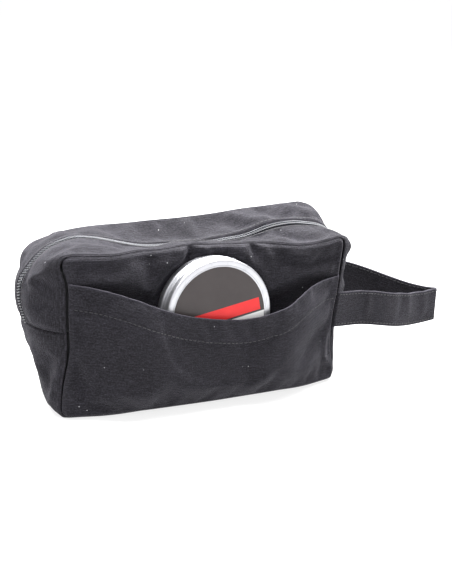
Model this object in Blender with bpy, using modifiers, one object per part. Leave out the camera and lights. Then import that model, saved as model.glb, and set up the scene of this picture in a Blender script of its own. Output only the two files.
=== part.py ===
"""Soft canvas wash bag with a zipped clamshell mouth, a patch pocket, a wrist loop and a screw tin.

Blender 4.5, metres, +Z up.  The bag stands on the XY plane with its front panel facing -Y and its
wrist loop at +X.  The origin is the middle of the base, on the surface the bag stands on.
"""
import math

import bmesh
import bpy
from mathutils import Matrix, Vector

# ---------------------------------------------------------------- driving sizes of the bag
PANEL_WIDTH = 0.219          # front and back panels, seam to seam
PANEL_HEIGHT = 0.113
BAG_DEPTH = 0.072            # outer face to outer face at the seams
CLOTH = 0.0016               # canvas, doubled where it is turned in at the seams
GAP = 0.0004                 # clearance left between sewn layers
SEAM_GAP = 0.0008            # clearance left between a panel and the gusset sewn to its edge
SEAM_RADIUS = 0.008          # panel corners
SHOULDER_RADIUS = 0.022      # the gusset's corners at mid depth, over the zip
HEEL_RADIUS = 0.012          # the gusset's lower corners at mid depth
CROSS_SEAM_HEIGHT = 0.061    # where the zipped strip meets the base strip, and the mouth folds
END_PUFF = 0.015             # how far each end stands out at mid depth
END_PUFF_AT_BASE = 0.004
BACK_BULGE = 0.004
BELLY = 0.008                # the front's lower edge pushed outwards
BELLY_HEIGHT = 0.022
WAIST = 0.003                # the ends drawn in at half height
BACK_TWIST = 0.010           # back top corners: right one up, left one down
TOP_SAG = 0.008              # the zip line's dip in the middle of the top
TOP_SAG_CENTRE = 0.0
TOP_SAG_REACH = 0.062
CORNER_TUCK = 0.012          # lower back left corner folded in

# ---------------------------------------------------------------- zip
ZIP_OPENING = 0.0080         # between the two turned cloth edges
CHAIN_WIDTH = 0.0056
CHAIN_SPLIT = 0.0016         # clear line between the two coils, where the slider's post runs
CHAIN_HEIGHT = 0.0018
TAPE_WIDTH = 0.012
TAPE_THICKNESS = 0.0007
SLIDER_LENGTH = 0.0095
SLIDER_WIDTH = 0.0076
SLIDER_PLATE = 0.0010
SLIDER_POST = 0.0008
SLIDER_CLEARANCE = 0.0005
SLIDER_START = 0.0030        # slider's lower end above the cross seam
POST_SHARE = 0.3             # post's length, and how far below the middle it stands, per slider length
CROWN_HEIGHT = 0.0030        # arch on the slider that holds the link
CROWN_WIDTH = 0.0026
CROWN_LENGTH = 0.0052
CROWN_SINK = 0.00025         # how deep the crown is set into the plate
PIN_SHARE = 0.46             # height of the link's hole, per crown height
LINK_WIRE = 0.0013
LINK_LENGTH = 0.0075
LINK_WIDTH = 0.0046
LINK_CORNER = 0.0009
LINK_CLEARANCE = 0.00035
TAB_LENGTH = 0.024
TAB_WIDTH = 0.0080
TAB_THICKNESS = 0.0016
TAB_WALL = 0.0006
TAB_OVERLAP = 0.0005         # how far the tab's plate is set into its barrel
TAB_EDGE = 0.0005

# ---------------------------------------------------------------- wrist loop
STRAP_WIDTH = 0.027
STRAP_THICKNESS = 0.0026
STRAP_REACH = 0.114          # from the panel's edge to the fold
STRAP_ROOT_HEIGHT = 0.058    # middle of the strap where it leaves the seam
STRAP_DROOP = 0.016          # the fold hangs this much lower
STRAP_FOLD_OFFSET = -0.004   # the fold lies a little in front of the middle
STRAP_FOLD_RADIUS = 0.0032
STRAP_PIVOT_REACH = 0.018    # flex line, out from the panel's edge
SOCKET_CLEARANCE = 0.0008    # stub's end to the flex circle
LOOP_CLEARANCE = 0.0006      # flex circle to the loop's round end

# ---------------------------------------------------------------- tin
TIN_RADIUS = 0.0415
TIN_DEPTH = 0.020
LID_SKIRT = 0.012
LID_WALL = 0.0009
LID_TRAVEL = 0.0018          # rise of the lid over three quarters of a turn
TIN_X = 0.001
TIN_REST = 0.0248            # floor to the tin's lowest edge
TIN_Z = TIN_RADIUS + TIN_REST
TIN_LEAN = math.radians(3.0)
TIN_PRESS = 0.0045           # how far the tin pushes the front panel in at its centre
TIN_SEAT = 0.0005            # clearance behind the tin
TIN_BEAD = 0.0012            # rounding of the rims
LID_CLEARANCE = 0.0005       # lid's skirt round the tin's neck
BASE_INSET = 0.0008          # tin's body inside the skirt's outer face
FILL_GAP = 0.0020            # wax below the tin's rim
LINER_THICKNESS = 0.0012
LINER_GAP = 0.0003
LINER_CLEARANCE = 0.0002
LABEL_RADIUS = 0.035
LABEL_THICKNESS = 0.0003
LABEL_RECESS = 0.0005
LABEL_BED = 0.00012          # glue line under the label
LABEL_MARGIN = 0.0008
LABEL_STEP = 0.0004

# ---------------------------------------------------------------- pocket
POCKET_SLACK = 0.0008
POCKET_BASE_RISE = 0.023     # height over which the pocket swells to its full depth
POCKET_FLANK = 0.060         # width over which it closes down to the side seams
PRESS_REACH = 0.034          # the panel is pushed in this far beyond the tin's edge
PRESS_BLEND = 0.030
MOUTH_LINE = ((-0.110, 0.0960), (-0.070, 0.0870), (-0.030, 0.0730), (0.005, 0.0660),
              (0.030, 0.0650), (0.055, 0.0705), (0.080, 0.0820), (0.110, 0.0840))

SEAM_BINDING_WIDTH = 0.007
SEAM_BINDING_THICKNESS = 0.0010

HALF_WIDTH = PANEL_WIDTH / 2
HALF_DEPTH = BAG_DEPTH / 2
SEAM_LINE = HALF_DEPTH - CLOTH - SEAM_GAP        # edge of the gusset, beside the panel
BINDING_EDGE = SEAM_LINE - SEAM_BINDING_WIDTH
TAPE_EDGE = CHAIN_SPLIT / 2 + TAPE_WIDTH
MOUTH_AXIS = Vector((0.0, HALF_DEPTH + BACK_BULGE, CROSS_SEAM_HEIGHT))

# ---------------------------------------------------------------- facets
TIN_SIDES = 36
ROD_SIDES = 12
RISE_COLUMNS = 4             # faces up an end, and round a shoulder
SHOULDER_COLUMNS = 4
FALL_COLUMNS = 5             # faces down an end, and round a heel
HEEL_COLUMNS = 3
RUN_FACET = 0.018            # aim for the faces along the top and the base
PANEL_FACET = 0.011
RUN_COLUMNS = round(PANEL_WIDTH / 2 / RUN_FACET)
UPPER_HALF = RISE_COLUMNS + SHOULDER_COLUMNS + RUN_COLUMNS
UPPER_COLUMNS = 2 * UPPER_HALF                   # faces along the zipped strip
UPPER_RISE = RISE_COLUMNS / UPPER_HALF           # share of half the strip that climbs an end
UPPER_TURN = (RISE_COLUMNS + SHOULDER_COLUMNS) / UPPER_HALF
LOWER_HALF = FALL_COLUMNS + HEEL_COLUMNS + RUN_COLUMNS
LOWER_COLUMNS = 2 * LOWER_HALF                   # faces along the base strip
LOWER_FALL = FALL_COLUMNS / LOWER_HALF
LOWER_TURN = (FALL_COLUMNS + HEEL_COLUMNS) / LOWER_HALF
FRONT_COLUMNS = round(PANEL_WIDTH / PANEL_FACET)
FRONT_ROWS = 10
BACK_COLUMNS = 14
BACK_ROWS = 6
POCKET_COLUMNS = 22
POCKET_ROWS = 9
LEG_COLUMNS = 12
FOLD_COLUMNS = 4
LOOP_ROWS = 6
ROOT_ROWS = 12
CREASE_ANGLE = math.radians(40)


# ---------------------------------------------------------------- shape of the soft bag
def smooth(t):
    t = min(1.0, max(0.0, t))
    return t * t * (3.0 - 2.0 * t)


def line_through(points, x):
    """Smooth curve through (x, value) pairs, with slopes taken from the neighbours."""
    x = min(points[-1][0], max(points[0][0], x))
    last = len(points) - 2
    k = next((i for i in range(last + 1) if x <= points[i + 1][0]), last)
    (x0, v0), (x1, v1) = points[k], points[k + 1]

    def slope(i):
        low, high = points[max(0, i - 1)], points[min(len(points) - 1, i + 1)]
        return (high[1] - low[1]) / (high[0] - low[0])

    span = x1 - x0
    t = (x - x0) / span
    return ((2 * t ** 3 - 3 * t ** 2 + 1) * v0 + (t ** 3 - 2 * t ** 2 + t) * span * slope(k)
            + (3 * t ** 2 - 2 * t ** 3) * v1 + (t ** 3 - t ** 2) * span * slope(k + 1))


def tin_press(x, z):
    """How far the front panel is pushed in behind the tin, parallel to the tin's back."""
    across = smooth((TIN_RADIUS + PRESS_REACH - abs(x - TIN_X)) / PRESS_BLEND)
    return max(0.0, TIN_PRESS + TIN_SEAT + (z - TIN_Z) * math.tan(TIN_LEAN)) * across


def settle(x, y, z):
    """Move a point of the squared-up bag to where the soft bag lets it sag."""
    a = x / HALF_WIDTH
    b = y / HALF_DEPTH
    c = z / PANEL_HEIGHT
    front = smooth(-b / 0.8)
    back = smooth((b + 1.0) / 2.0)
    above = max(0.0, (z - CROSS_SEAM_HEIGHT) / (PANEL_HEIGHT - CROSS_SEAM_HEIGHT))
    below = max(0.0, 1.0 - z / CROSS_SEAM_HEIGHT)
    dip = math.exp(-((x - TOP_SAG_CENTRE) / TOP_SAG_REACH) ** 2)
    x_out = x - WAIST * a * 4.0 * max(0.0, c * (1.0 - c)) + CORNER_TUCK * below * back * smooth(-a)
    belly = smooth(1.0 - z / BELLY_HEIGHT) * max(0.0, 1.0 - a * a)
    y_out = y + (tin_press(x, z) - BELLY * belly) * front
    z_out = z + above * (BACK_TWIST * a * back - TOP_SAG * dip * max(0.0, 1.0 - b * b))
    return Vector((x_out, y_out, z_out))


def end_puff(z):
    low = END_PUFF_AT_BASE
    return low + (END_PUFF - low) * smooth(z / CROSS_SEAM_HEIGHT)


def upper_loop(t, y, depth):
    """Point on the zipped strip, which goes up the left end, over the top and down the right end."""
    b = min(1.0, abs(y / HALF_DEPTH))
    radius = SHOULDER_RADIUS + (SEAM_RADIUS - SHOULDER_RADIUS) * b * b
    half = HALF_WIDTH + END_PUFF * (1.0 - b ** 3)
    side = 1.0 if t > 0.5 else -1.0
    t = 2.0 * (1.0 - t) if t > 0.5 else 2.0 * t
    if t <= UPPER_RISE:
        foot = CROSS_SEAM_HEIGHT + GAP / 2
        x = half
        z = foot + (PANEL_HEIGHT - radius - foot) * t / UPPER_RISE
        angle = 0.0
    elif t <= UPPER_TURN:
        angle = 0.5 * math.pi * (t - UPPER_RISE) / (UPPER_TURN - UPPER_RISE)
        x = half - radius + radius * math.cos(angle)
        z = PANEL_HEIGHT - radius + radius * math.sin(angle)
    else:
        x = (half - radius) * (1.0 - t) / (1.0 - UPPER_TURN)
        z = PANEL_HEIGHT
        angle = 0.5 * math.pi
    return settle(side * (x - depth * math.cos(angle)), y, z - depth * math.sin(angle))


def lower_loop(t, y, depth):
    """Point on the base strip, which goes down the right end, under the bag and up the left end."""
    b = min(1.0, abs(y / HALF_DEPTH))
    radius = HEEL_RADIUS + (SEAM_RADIUS - HEEL_RADIUS) * b * b
    side = -1.0 if t > 0.5 else 1.0
    t = 2.0 * (1.0 - t) if t > 0.5 else 2.0 * t
    if t <= LOWER_FALL:
        top = CROSS_SEAM_HEIGHT - GAP / 2
        x = HALF_WIDTH
        z = top + (radius - top) * t / LOWER_FALL
        angle = 0.0
    elif t <= LOWER_TURN:
        angle = 0.5 * math.pi * (t - LOWER_FALL) / (LOWER_TURN - LOWER_FALL)
        x = HALF_WIDTH - radius + radius * math.cos(angle)
        z = radius - radius * math.sin(angle)
    else:
        x = (HALF_WIDTH - radius) * (1.0 - t) / (1.0 - LOWER_TURN)
        z = 0.0
        angle = 0.5 * math.pi
    x += end_puff(z) * (1.0 - b ** 3) * smooth(x / (HALF_WIDTH - radius))
    return settle(side * (x - depth * math.cos(angle)), y, z + depth * math.sin(angle))


def panel_half_width(z):
    edge = max(0.0, min(z, PANEL_HEIGHT - z))
    cut = max(0.0, SEAM_RADIUS - edge)
    return HALF_WIDTH - SEAM_RADIUS + math.sqrt(SEAM_RADIUS ** 2 - cut ** 2)


def spread(w):
    """Rows packed towards both ends, where the panel's corners turn."""
    return 0.5 - 0.5 * math.cos(math.pi * w)


def front_face(u, w, depth):
    z = PANEL_HEIGHT * spread(w)
    return settle((2.0 * u - 1.0) * panel_half_width(z), -HALF_DEPTH + depth, z)


def back_face(u, z, depth):
    a = 1.0 - 2.0 * u
    c = z / PANEL_HEIGHT
    point = settle(a * panel_half_width(z), HALF_DEPTH - depth, z)
    point.y += BACK_BULGE * (1.0 - a * a) * 4.0 * c * (1.0 - c)
    return point


def strip(loop, *lines):
    """A surface on the gusset loop, with one row of faces between each pair of distances from the zip."""
    def surface(u, w, depth):
        row = min(len(lines) - 2, int(w * (len(lines) - 1)))
        part = w * (len(lines) - 1) - row
        return loop(u, lines[row] + (lines[row + 1] - lines[row]) * part, depth)

    return surface


# ---------------------------------------------------------------- Blender helpers
def clear_scene():
    for obj in list(bpy.data.objects):
        bpy.data.objects.remove(obj, do_unlink=True)


def collection(name):
    group = bpy.data.collections.new(name)
    bpy.context.scene.collection.children.link(group)
    return group


def material(name, colour, roughness, metallic=0.0):
    made = bpy.data.materials.new(name)
    made.use_nodes = True
    shader = made.node_tree.nodes["Principled BSDF"]
    shader.inputs["Base Color"].default_value = (*colour, 1.0)
    shader.inputs["Roughness"].default_value = roughness
    shader.inputs["Metallic"].default_value = metallic
    return made


CANVAS = ((0.030, 0.028, 0.032), 0.9, 0.0)
TAPE = ((0.045, 0.044, 0.048), 0.8, 0.0)
COIL = ((0.22, 0.22, 0.24), 0.45, 0.0)
METAL = ((0.30, 0.30, 0.32), 0.35, 1.0)
ALUMINIUM = ((0.80, 0.81, 0.83), 0.3, 1.0)
LABEL = ((0.075, 0.06, 0.06), 0.4, 0.0)
WAX = ((0.75, 0.70, 0.58), 0.5, 0.0)
FOAM = ((0.85, 0.85, 0.84), 0.8, 0.0)


def add_object(name, bm, finish, group, smooth_shading=True):
    mesh = bpy.data.meshes.new(name)
    bm.to_mesh(mesh)
    bm.free()
    obj = bpy.data.objects.new(name, mesh)
    group.objects.link(obj)
    mesh.materials.append(material(name, *finish))
    if smooth_shading:
        mesh.shade_smooth()
        mesh.set_sharp_from_angle(angle=CREASE_ANGLE)
    return obj


def sheet(name, surface, columns, rows, depth, thickness, finish, group):
    """A sewn cloth piece: two grids laid on a surface at two depths and joined round their edges."""
    bm = bmesh.new()
    for level in (0.0, -1.0):
        shift = Matrix.Translation((0.0, 0.0, level))
        made = bmesh.ops.create_grid(bm, x_segments=columns, y_segments=rows, size=0.5, matrix=shift)
        if level:
            faces = list({face for vert in made["verts"] for face in vert.link_faces})
            bmesh.ops.reverse_faces(bm, faces=faces)
    rim = [edge for edge in bm.edges if edge.is_boundary]
    bmesh.ops.bridge_loops(bm, edges=rim)
    for vert in bm.verts:
        u, w, level = vert.co
        vert.co = surface(u + 0.5, w + 0.5, depth - level * thickness)
    bmesh.ops.recalc_face_normals(bm, faces=bm.faces)
    if bm.calc_volume(signed=True) < 0.0:
        bmesh.ops.reverse_faces(bm, faces=bm.faces)
    return add_object(name, bm, finish, group)


def hang(name, place, *pieces):
    """Put pieces under an empty that stands on their joint's axis."""
    pivot = bpy.data.objects.new(name, None)
    pivot.location = place
    for piece in pieces:
        piece.parent = pivot
        piece.matrix_parent_inverse = Matrix.Translation(-place)
    pieces[0].users_collection[0].objects.link(pivot)


def box(size, centre):
    bm = bmesh.new()
    bmesh.ops.create_cube(bm, size=1.0)
    bmesh.ops.scale(bm, vec=size, verts=bm.verts)
    bmesh.ops.translate(bm, vec=centre, verts=bm.verts)
    return bm


def rod(radius, length, z, x):
    """A short cylinder along Y."""
    bm = bmesh.new()
    place = Matrix.Translation((x, 0.0, z)) @ Matrix.Rotation(math.pi / 2, 4, "X")
    bmesh.ops.create_cone(bm, cap_ends=True, segments=ROD_SIDES, radius1=radius, radius2=radius, depth=length,
                          matrix=place)
    return bm


def combine(obj, other, operation):
    """Boolean union with, or difference by, another object that is kept as a guide."""
    modifier = obj.modifiers.new(operation.lower(), "BOOLEAN")
    modifier.operation = operation
    modifier.object = other
    other.hide_render = True
    other.display_type = "WIRE"


def turned(name, profile, finish, group, frame):
    """A turned piece: a closed profile of (radius, height) spun about the frame's Z axis."""
    bm = bmesh.new()
    verts = [bm.verts.new((radius, 0.0, height)) for radius, height in profile]
    edges = [bm.edges.new((verts[i], verts[i + 1])) for i in range(len(verts) - 1)]
    bmesh.ops.spin(bm, geom=verts + edges, cent=(0, 0, 0), axis=(0, 0, 1), angle=2 * math.pi,
                   steps=TIN_SIDES, use_merge=True)
    bmesh.ops.remove_doubles(bm, verts=bm.verts, dist=1e-6)
    bmesh.ops.recalc_face_normals(bm, faces=bm.faces)
    obj = add_object(name, bm, finish, group)
    obj.matrix_world = frame
    return obj


# ---------------------------------------------------------------- cloth pieces
def make_panels(bag):
    sheet("front_panel", front_face, FRONT_COLUMNS, FRONT_ROWS, 0.0, CLOTH, CANVAS, bag)

    def lower(u, w, depth):
        top = CROSS_SEAM_HEIGHT - GAP / 2
        return back_face(u, top * (1.0 - math.cos(0.5 * math.pi * w)), depth)

    def upper(u, w, depth):
        foot = CROSS_SEAM_HEIGHT + GAP / 2
        return back_face(u, foot + (PANEL_HEIGHT - foot) * math.sin(0.5 * math.pi * w), depth)

    sheet("back_panel_lower", lower, BACK_COLUMNS, BACK_ROWS, 0.0, CLOTH, CANVAS, bag)
    return sheet("back_panel_upper", upper, BACK_COLUMNS, BACK_ROWS, 0.0, CLOTH, CANVAS, bag)


def make_gussets(bag):
    edge = ZIP_OPENING / 2
    lines = [edge, 0.5 * edge + 0.5 * TAPE_EDGE, TAPE_EDGE, BINDING_EDGE, SEAM_LINE]
    mirrored = [-line for line in reversed(lines)]
    rows = len(lines) - 1
    sheet("zip_gusset_front", strip(upper_loop, *mirrored), UPPER_COLUMNS, rows, 0.0, CLOTH, CANVAS, bag)
    half = [0.0, 0.5 * BINDING_EDGE, BINDING_EDGE, SEAM_LINE]
    whole = [-line for line in reversed(half[1:])] + half
    sheet("base_gusset", strip(lower_loop, *whole), LOWER_COLUMNS, len(whole) - 1, 0.0, CLOTH, CANVAS, bag)
    return sheet("zip_gusset_back", strip(upper_loop, *lines), UPPER_COLUMNS, rows, 0.0, CLOTH, CANVAS, bag)


def make_bindings(bag):
    """Tape sewn over the raw edges inside the front and back seams."""
    depth = CLOTH + GAP

    def front_band(u, w, level):
        y = -SEAM_LINE + SEAM_BINDING_WIDTH * w
        if u <= 0.5:
            return upper_loop(2.0 * u, y, level)
        return lower_loop(2.0 * u - 1.0, y, level)

    thick = SEAM_BINDING_THICKNESS
    sheet("seam_binding_front", front_band, UPPER_COLUMNS + LOWER_COLUMNS, 1, depth, thick, TAPE, bag)
    lower = strip(lower_loop, BINDING_EDGE, SEAM_LINE)
    sheet("seam_binding_back_lower", lower, LOWER_COLUMNS, 1, depth, thick, TAPE, bag)
    upper = strip(upper_loop, BINDING_EDGE, SEAM_LINE)
    return sheet("seam_binding_back_upper", upper, UPPER_COLUMNS, 1, depth, thick, TAPE, bag)


def make_zip(bag):
    middle = CHAIN_SPLIT / 2
    row = CHAIN_WIDTH / 2
    under = CLOTH + GAP
    chain = under - GAP / 2 - CHAIN_HEIGHT
    for side, tape, coil in (("front", (-TAPE_EDGE, -row, -middle), (-row, -middle)),
                             ("back", (middle, row, TAPE_EDGE), (middle, row))):
        tape_piece = sheet(f"zip_tape_{side}", strip(upper_loop, *tape), UPPER_COLUMNS, 2, under,
                           TAPE_THICKNESS, TAPE, bag)
        coil_piece = sheet(f"zip_coil_{side}", strip(upper_loop, *coil), UPPER_COLUMNS, 1, chain,
                           CHAIN_HEIGHT, COIL, bag)
    return tape_piece, coil_piece


def pocket_face(u, w, depth):
    """Outer face of the patch pocket, which swells over the tin."""
    a = 2.0 * u - 1.0
    z = line_through(MOUTH_LINE, a * HALF_WIDTH) * w
    x = a * panel_half_width(z)
    point = settle(x, -HALF_DEPTH, z)
    lean = max(0.0, TIN_Z - z) * math.tan(TIN_LEAN)
    room = TIN_DEPTH - TIN_PRESS + LID_TRAVEL + POCKET_SLACK + lean
    flank = smooth((HALF_WIDTH - abs(x)) / POCKET_FLANK)
    stand = room * flank * smooth(z / POCKET_BASE_RISE) + tin_press(x, z) * flank
    point.y -= stand + CLOTH + GAP - depth
    return point


def make_pocket(bag):
    sheet("front_pocket", pocket_face, POCKET_COLUMNS, POCKET_ROWS, 0.0, CLOTH, CANVAS, bag)


# ---------------------------------------------------------------- wrist loop
PIVOT_X = HALF_WIDTH + STRAP_PIVOT_REACH
SOCKET_RADIUS = STRAP_WIDTH / 2 + SOCKET_CLEARANCE
LOOP_END_RADIUS = SOCKET_RADIUS - LOOP_CLEARANCE
FOLD_X = HALF_WIDTH + STRAP_REACH - STRAP_FOLD_RADIUS


def strap_height(x):
    return STRAP_ROOT_HEIGHT - STRAP_DROOP * smooth((x - PIVOT_X) / (FOLD_X - PIVOT_X))


def leg_point(side, x, across, depth):
    """Point on the front (-1) or back (+1) leg, which runs straight from its seam to the fold."""
    start_y = side * (HALF_DEPTH - STRAP_THICKNESS / 2)
    fold_y = STRAP_FOLD_OFFSET + side * STRAP_FOLD_RADIUS
    run = FOLD_X - HALF_WIDTH
    slope = (fold_y - start_y) / run
    y = start_y + slope * (x - HALF_WIDTH)
    out = Vector((-slope * side, side, 0.0)).normalized()
    return Vector((x, y, strap_height(x) + across)) - out * depth


def root_start():
    """Where the strap leaves the bag: beyond the panel's edge and clear of the swollen end beside it."""
    inner = HALF_DEPTH - STRAP_THICKNESS
    swell = end_puff(STRAP_ROOT_HEIGHT) * (1.0 - (inner / HALF_DEPTH) ** 3) - WAIST
    return HALF_WIDTH + max(GAP, swell + 0.98 * GAP)


def socket_edge(across):
    """How far back from the pivot the seam's stub ends, clear of the loop's round end as it swings."""
    corner = SOCKET_RADIUS / math.sqrt(2.0)
    if abs(across) > corner:
        return 2.0 * corner - abs(across)
    return math.sqrt(SOCKET_RADIUS ** 2 - across ** 2)


def loop_face(u, w, depth):
    across = (w - 0.5) * STRAP_WIDTH
    start = PIVOT_X - math.sqrt(LOOP_END_RADIUS ** 2 - across ** 2)
    step = u * (2 * LEG_COLUMNS + FOLD_COLUMNS)
    if step <= LEG_COLUMNS:
        return leg_point(-1, start + (FOLD_X - start) * step / LEG_COLUMNS, across, depth)
    if step >= LEG_COLUMNS + FOLD_COLUMNS:
        back = (2 * LEG_COLUMNS + FOLD_COLUMNS - step) / LEG_COLUMNS
        return leg_point(1, start + (FOLD_X - start) * back, across, depth)
    angle = math.pi * ((step - LEG_COLUMNS) / FOLD_COLUMNS - 0.5)
    radius = STRAP_FOLD_RADIUS - depth
    x = FOLD_X + radius * math.cos(angle)
    return Vector((x, STRAP_FOLD_OFFSET + radius * math.sin(angle), strap_height(x) + across))


def make_strap(bag):
    """The back root stops at the cross seam, because the opening mouth sweeps past above it."""
    half = STRAP_THICKNESS / 2
    edge = STRAP_WIDTH / 2
    cross_seam = CROSS_SEAM_HEIGHT - GAP - STRAP_ROOT_HEIGHT
    for name, side, top in (("front", -1, edge), ("back", 1, cross_seam)):
        def root(u, w, depth, side=side, top=top):
            across = top + (-edge - top) * w
            start = root_start()
            return leg_point(side, start + (PIVOT_X - socket_edge(across) - start) * u, across, depth)

        sheet(f"handle_root_{name}", root, 2, ROOT_ROWS, -half, STRAP_THICKNESS, CANVAS, bag)
    columns = 2 * LEG_COLUMNS + FOLD_COLUMNS
    loop = sheet("handle_loop", loop_face, columns, LOOP_ROWS, -half, STRAP_THICKNESS, CANVAS, bag)
    hang("handle_pivot", Vector((PIVOT_X, 0.0, STRAP_ROOT_HEIGHT)), loop)


# ---------------------------------------------------------------- slider and pull
def slider_frame():
    """Frame at the slider's middle: X out of the bag, Z up the straight stretch of the zip."""
    low = upper_loop(1.0, 0.0, 0.0)
    high = upper_loop(1.0 - 0.5 * UPPER_RISE, 0.0, 0.0)
    up = (high - low).normalized()
    out = Vector((0.0, 1.0, 0.0)).cross(up)
    middle = low + up * (SLIDER_START + SLIDER_LENGTH / 2)
    frame = Matrix.Identity(4)
    for column, axis in enumerate((out, Vector((0.0, 1.0, 0.0)), up, middle)):
        for row in range(3):
            frame[row][column] = axis[row]
    return frame


def make_slider(bag, cutters):
    frame = slider_frame()
    tape_inside = CLOTH + GAP + TAPE_THICKNESS
    coil_outside = CHAIN_HEIGHT - (CLOTH + GAP / 2)
    top = coil_outside + SLIDER_CLEARANCE
    bottom = -tape_inside - SLIDER_CLEARANCE
    plate = Vector((SLIDER_PLATE, SLIDER_WIDTH, SLIDER_LENGTH))
    outer = add_object("slider_body", box(plate, (top + SLIDER_PLATE / 2, 0, 0)), METAL, bag)
    inner = add_object("slider_inner_plate", box(plate, (bottom - SLIDER_PLATE / 2, 0, 0)),
                       METAL, cutters)
    post_height = top - bottom + SLIDER_PLATE
    post_length = SLIDER_LENGTH * POST_SHARE
    post = add_object("slider_post", box((post_height, SLIDER_POST, post_length),
                                         ((top + bottom) / 2, 0, -post_length)),
                      METAL, cutters)
    crown_size = (CROWN_HEIGHT + 2 * CROWN_SINK, CROWN_WIDTH, CROWN_LENGTH)
    crown_middle = top + SLIDER_PLATE - CROWN_SINK + CROWN_HEIGHT / 2
    crown = add_object("slider_crown", box(crown_size, (crown_middle, 0, 0)), METAL, cutters)
    pin_x = top + SLIDER_PLATE + CROWN_HEIGHT * PIN_SHARE
    bore_length = 2 * CROWN_WIDTH
    bore = add_object("slider_bore", rod(LINK_WIRE / 2 + LINK_CLEARANCE, bore_length, 0.0, pin_x),
                      METAL, cutters)
    for piece in (outer, inner, post, crown, bore):
        piece.matrix_world = frame
    for piece in (inner, post, crown):
        combine(outer, piece, "UNION")
    combine(outer, bore, "DIFFERENCE")
    make_pull(bag, cutters, frame, pin_x)


def make_pull(bag, cutters, frame, pin_x):
    """Wire link through the slider's crown, with the flat tab hanging from it."""
    pivot = bpy.data.objects.new("pull_pivot", None)
    bag.objects.link(pivot)
    pivot.matrix_world = frame @ Matrix.Translation((pin_x, 0, 0))
    curve = bpy.data.curves.new("pull_link", "CURVE")
    curve.dimensions = "3D"
    curve.bevel_depth = LINK_WIRE / 2
    curve.bevel_resolution = 2
    half = LINK_WIDTH / 2
    corner = LINK_CORNER
    outline = []
    for cx, cz, start in ((half, 0.0, 0), (-half, 0.0, 90), (-half, -LINK_LENGTH, 180),
                          (half, -LINK_LENGTH, 270)):
        for step in range(3):
            angle = math.radians(start + 45 * step)
            inset_y = cx - math.copysign(corner, cx)
            inset_z = cz - corner if cz == 0.0 else cz + corner
            outline.append((0.0, inset_y + corner * math.cos(angle), inset_z + corner * math.sin(angle)))
    spline = curve.splines.new("POLY")
    spline.points.add(len(outline) - 1)
    for point, co in zip(spline.points, outline):
        point.co = (*co, 1.0)
    spline.use_cyclic_u = True
    link = bpy.data.objects.new("pull_link", curve)
    bag.objects.link(link)
    curve.materials.append(material("pull_link", *METAL))
    link.parent = pivot

    bore = LINK_WIRE / 2 + LINK_CLEARANCE
    barrel_radius = bore + TAB_WALL
    tab_middle = -LINK_LENGTH - barrel_radius + TAB_OVERLAP - TAB_LENGTH / 2
    tab_size = (TAB_THICKNESS, TAB_WIDTH, TAB_LENGTH)
    tab = add_object("pull_tab", box(tab_size, (0, 0, tab_middle)), METAL, bag)
    bevel = tab.modifiers.new("round", "BEVEL")
    bevel.width = TAB_EDGE
    bevel.segments = 1
    barrel_length = LINK_WIDTH - LINK_WIRE - 2 * LINK_CLEARANCE
    barrel = add_object("tab_barrel", rod(barrel_radius, barrel_length, -LINK_LENGTH, 0.0), METAL, cutters)
    hole = add_object("tab_bore", rod(bore, 2 * barrel_length, -LINK_LENGTH, 0.0), METAL, cutters)
    for piece in (tab, barrel, hole):
        piece.parent = pivot
    combine(tab, barrel, "UNION")
    combine(tab, hole, "DIFFERENCE")


# ---------------------------------------------------------------- tin
def tin_frame(height):
    """Frame on the tin's axis: Z points out of the lid, height is measured from the tin's back."""
    normal = Vector((0.0, -math.cos(TIN_LEAN), math.sin(TIN_LEAN)))
    back = Vector((TIN_X, -HALF_DEPTH + TIN_PRESS, TIN_Z))
    side = Vector((1.0, 0.0, 0.0))
    up = normal.cross(side)
    frame = Matrix.Identity(4)
    for column, axis in enumerate((side, up, normal, back + normal * height)):
        for row in range(3):
            frame[row][column] = axis[row]
    return frame


def make_tin(bag):
    frame = tin_frame(0.0)
    wall = LID_WALL
    lid_inside = TIN_RADIUS - wall
    neck = lid_inside - LID_CLEARANCE
    shelf = TIN_DEPTH - LID_SKIRT - GAP
    liner_top = TIN_DEPTH - wall - LINER_GAP
    liner_bottom = liner_top - LINER_THICKNESS
    rim = liner_bottom - LINER_GAP
    bead = TIN_BEAD
    body = TIN_RADIUS - BASE_INSET
    turned("tin_base", (
        (0.0, 0.0), (body - bead, 0.0), (body, bead), (body, shelf),
        (neck, shelf), (neck, rim), (neck - wall, rim), (neck - wall, wall), (0.0, wall)),
        ALUMINIUM, bag, frame)
    fill = rim - FILL_GAP
    inside = neck - wall - GAP
    turned("tin_fill", ((0.0, wall + GAP), (inside, wall + GAP), (inside, fill), (0.0, fill)),
           WAX, bag, frame)
    liner = neck - LINER_CLEARANCE
    turned("lid_liner", ((0.0, liner_bottom), (liner, liner_bottom), (liner, liner_top), (0.0, liner_top)),
           FOAM, bag, frame)
    skirt = TIN_DEPTH - LID_SKIRT
    bed = TIN_DEPTH - LABEL_RECESS
    edge = LABEL_RADIUS + LABEL_MARGIN
    turned("tin_lid", (
        (0.0, TIN_DEPTH - wall), (lid_inside, TIN_DEPTH - wall), (lid_inside, skirt), (TIN_RADIUS, skirt),
        (TIN_RADIUS, TIN_DEPTH - bead), (TIN_RADIUS - bead, TIN_DEPTH), (edge + LABEL_STEP, TIN_DEPTH),
        (edge, bed), (0.0, bed)),
        ALUMINIUM, bag, frame)
    label_low = bed + LABEL_BED
    label_high = label_low + LABEL_THICKNESS
    turned("lid_label", (
        (0.0, label_low), (LABEL_RADIUS, label_low), (LABEL_RADIUS, label_high), (0.0, label_high)),
        LABEL, bag, frame)


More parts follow.
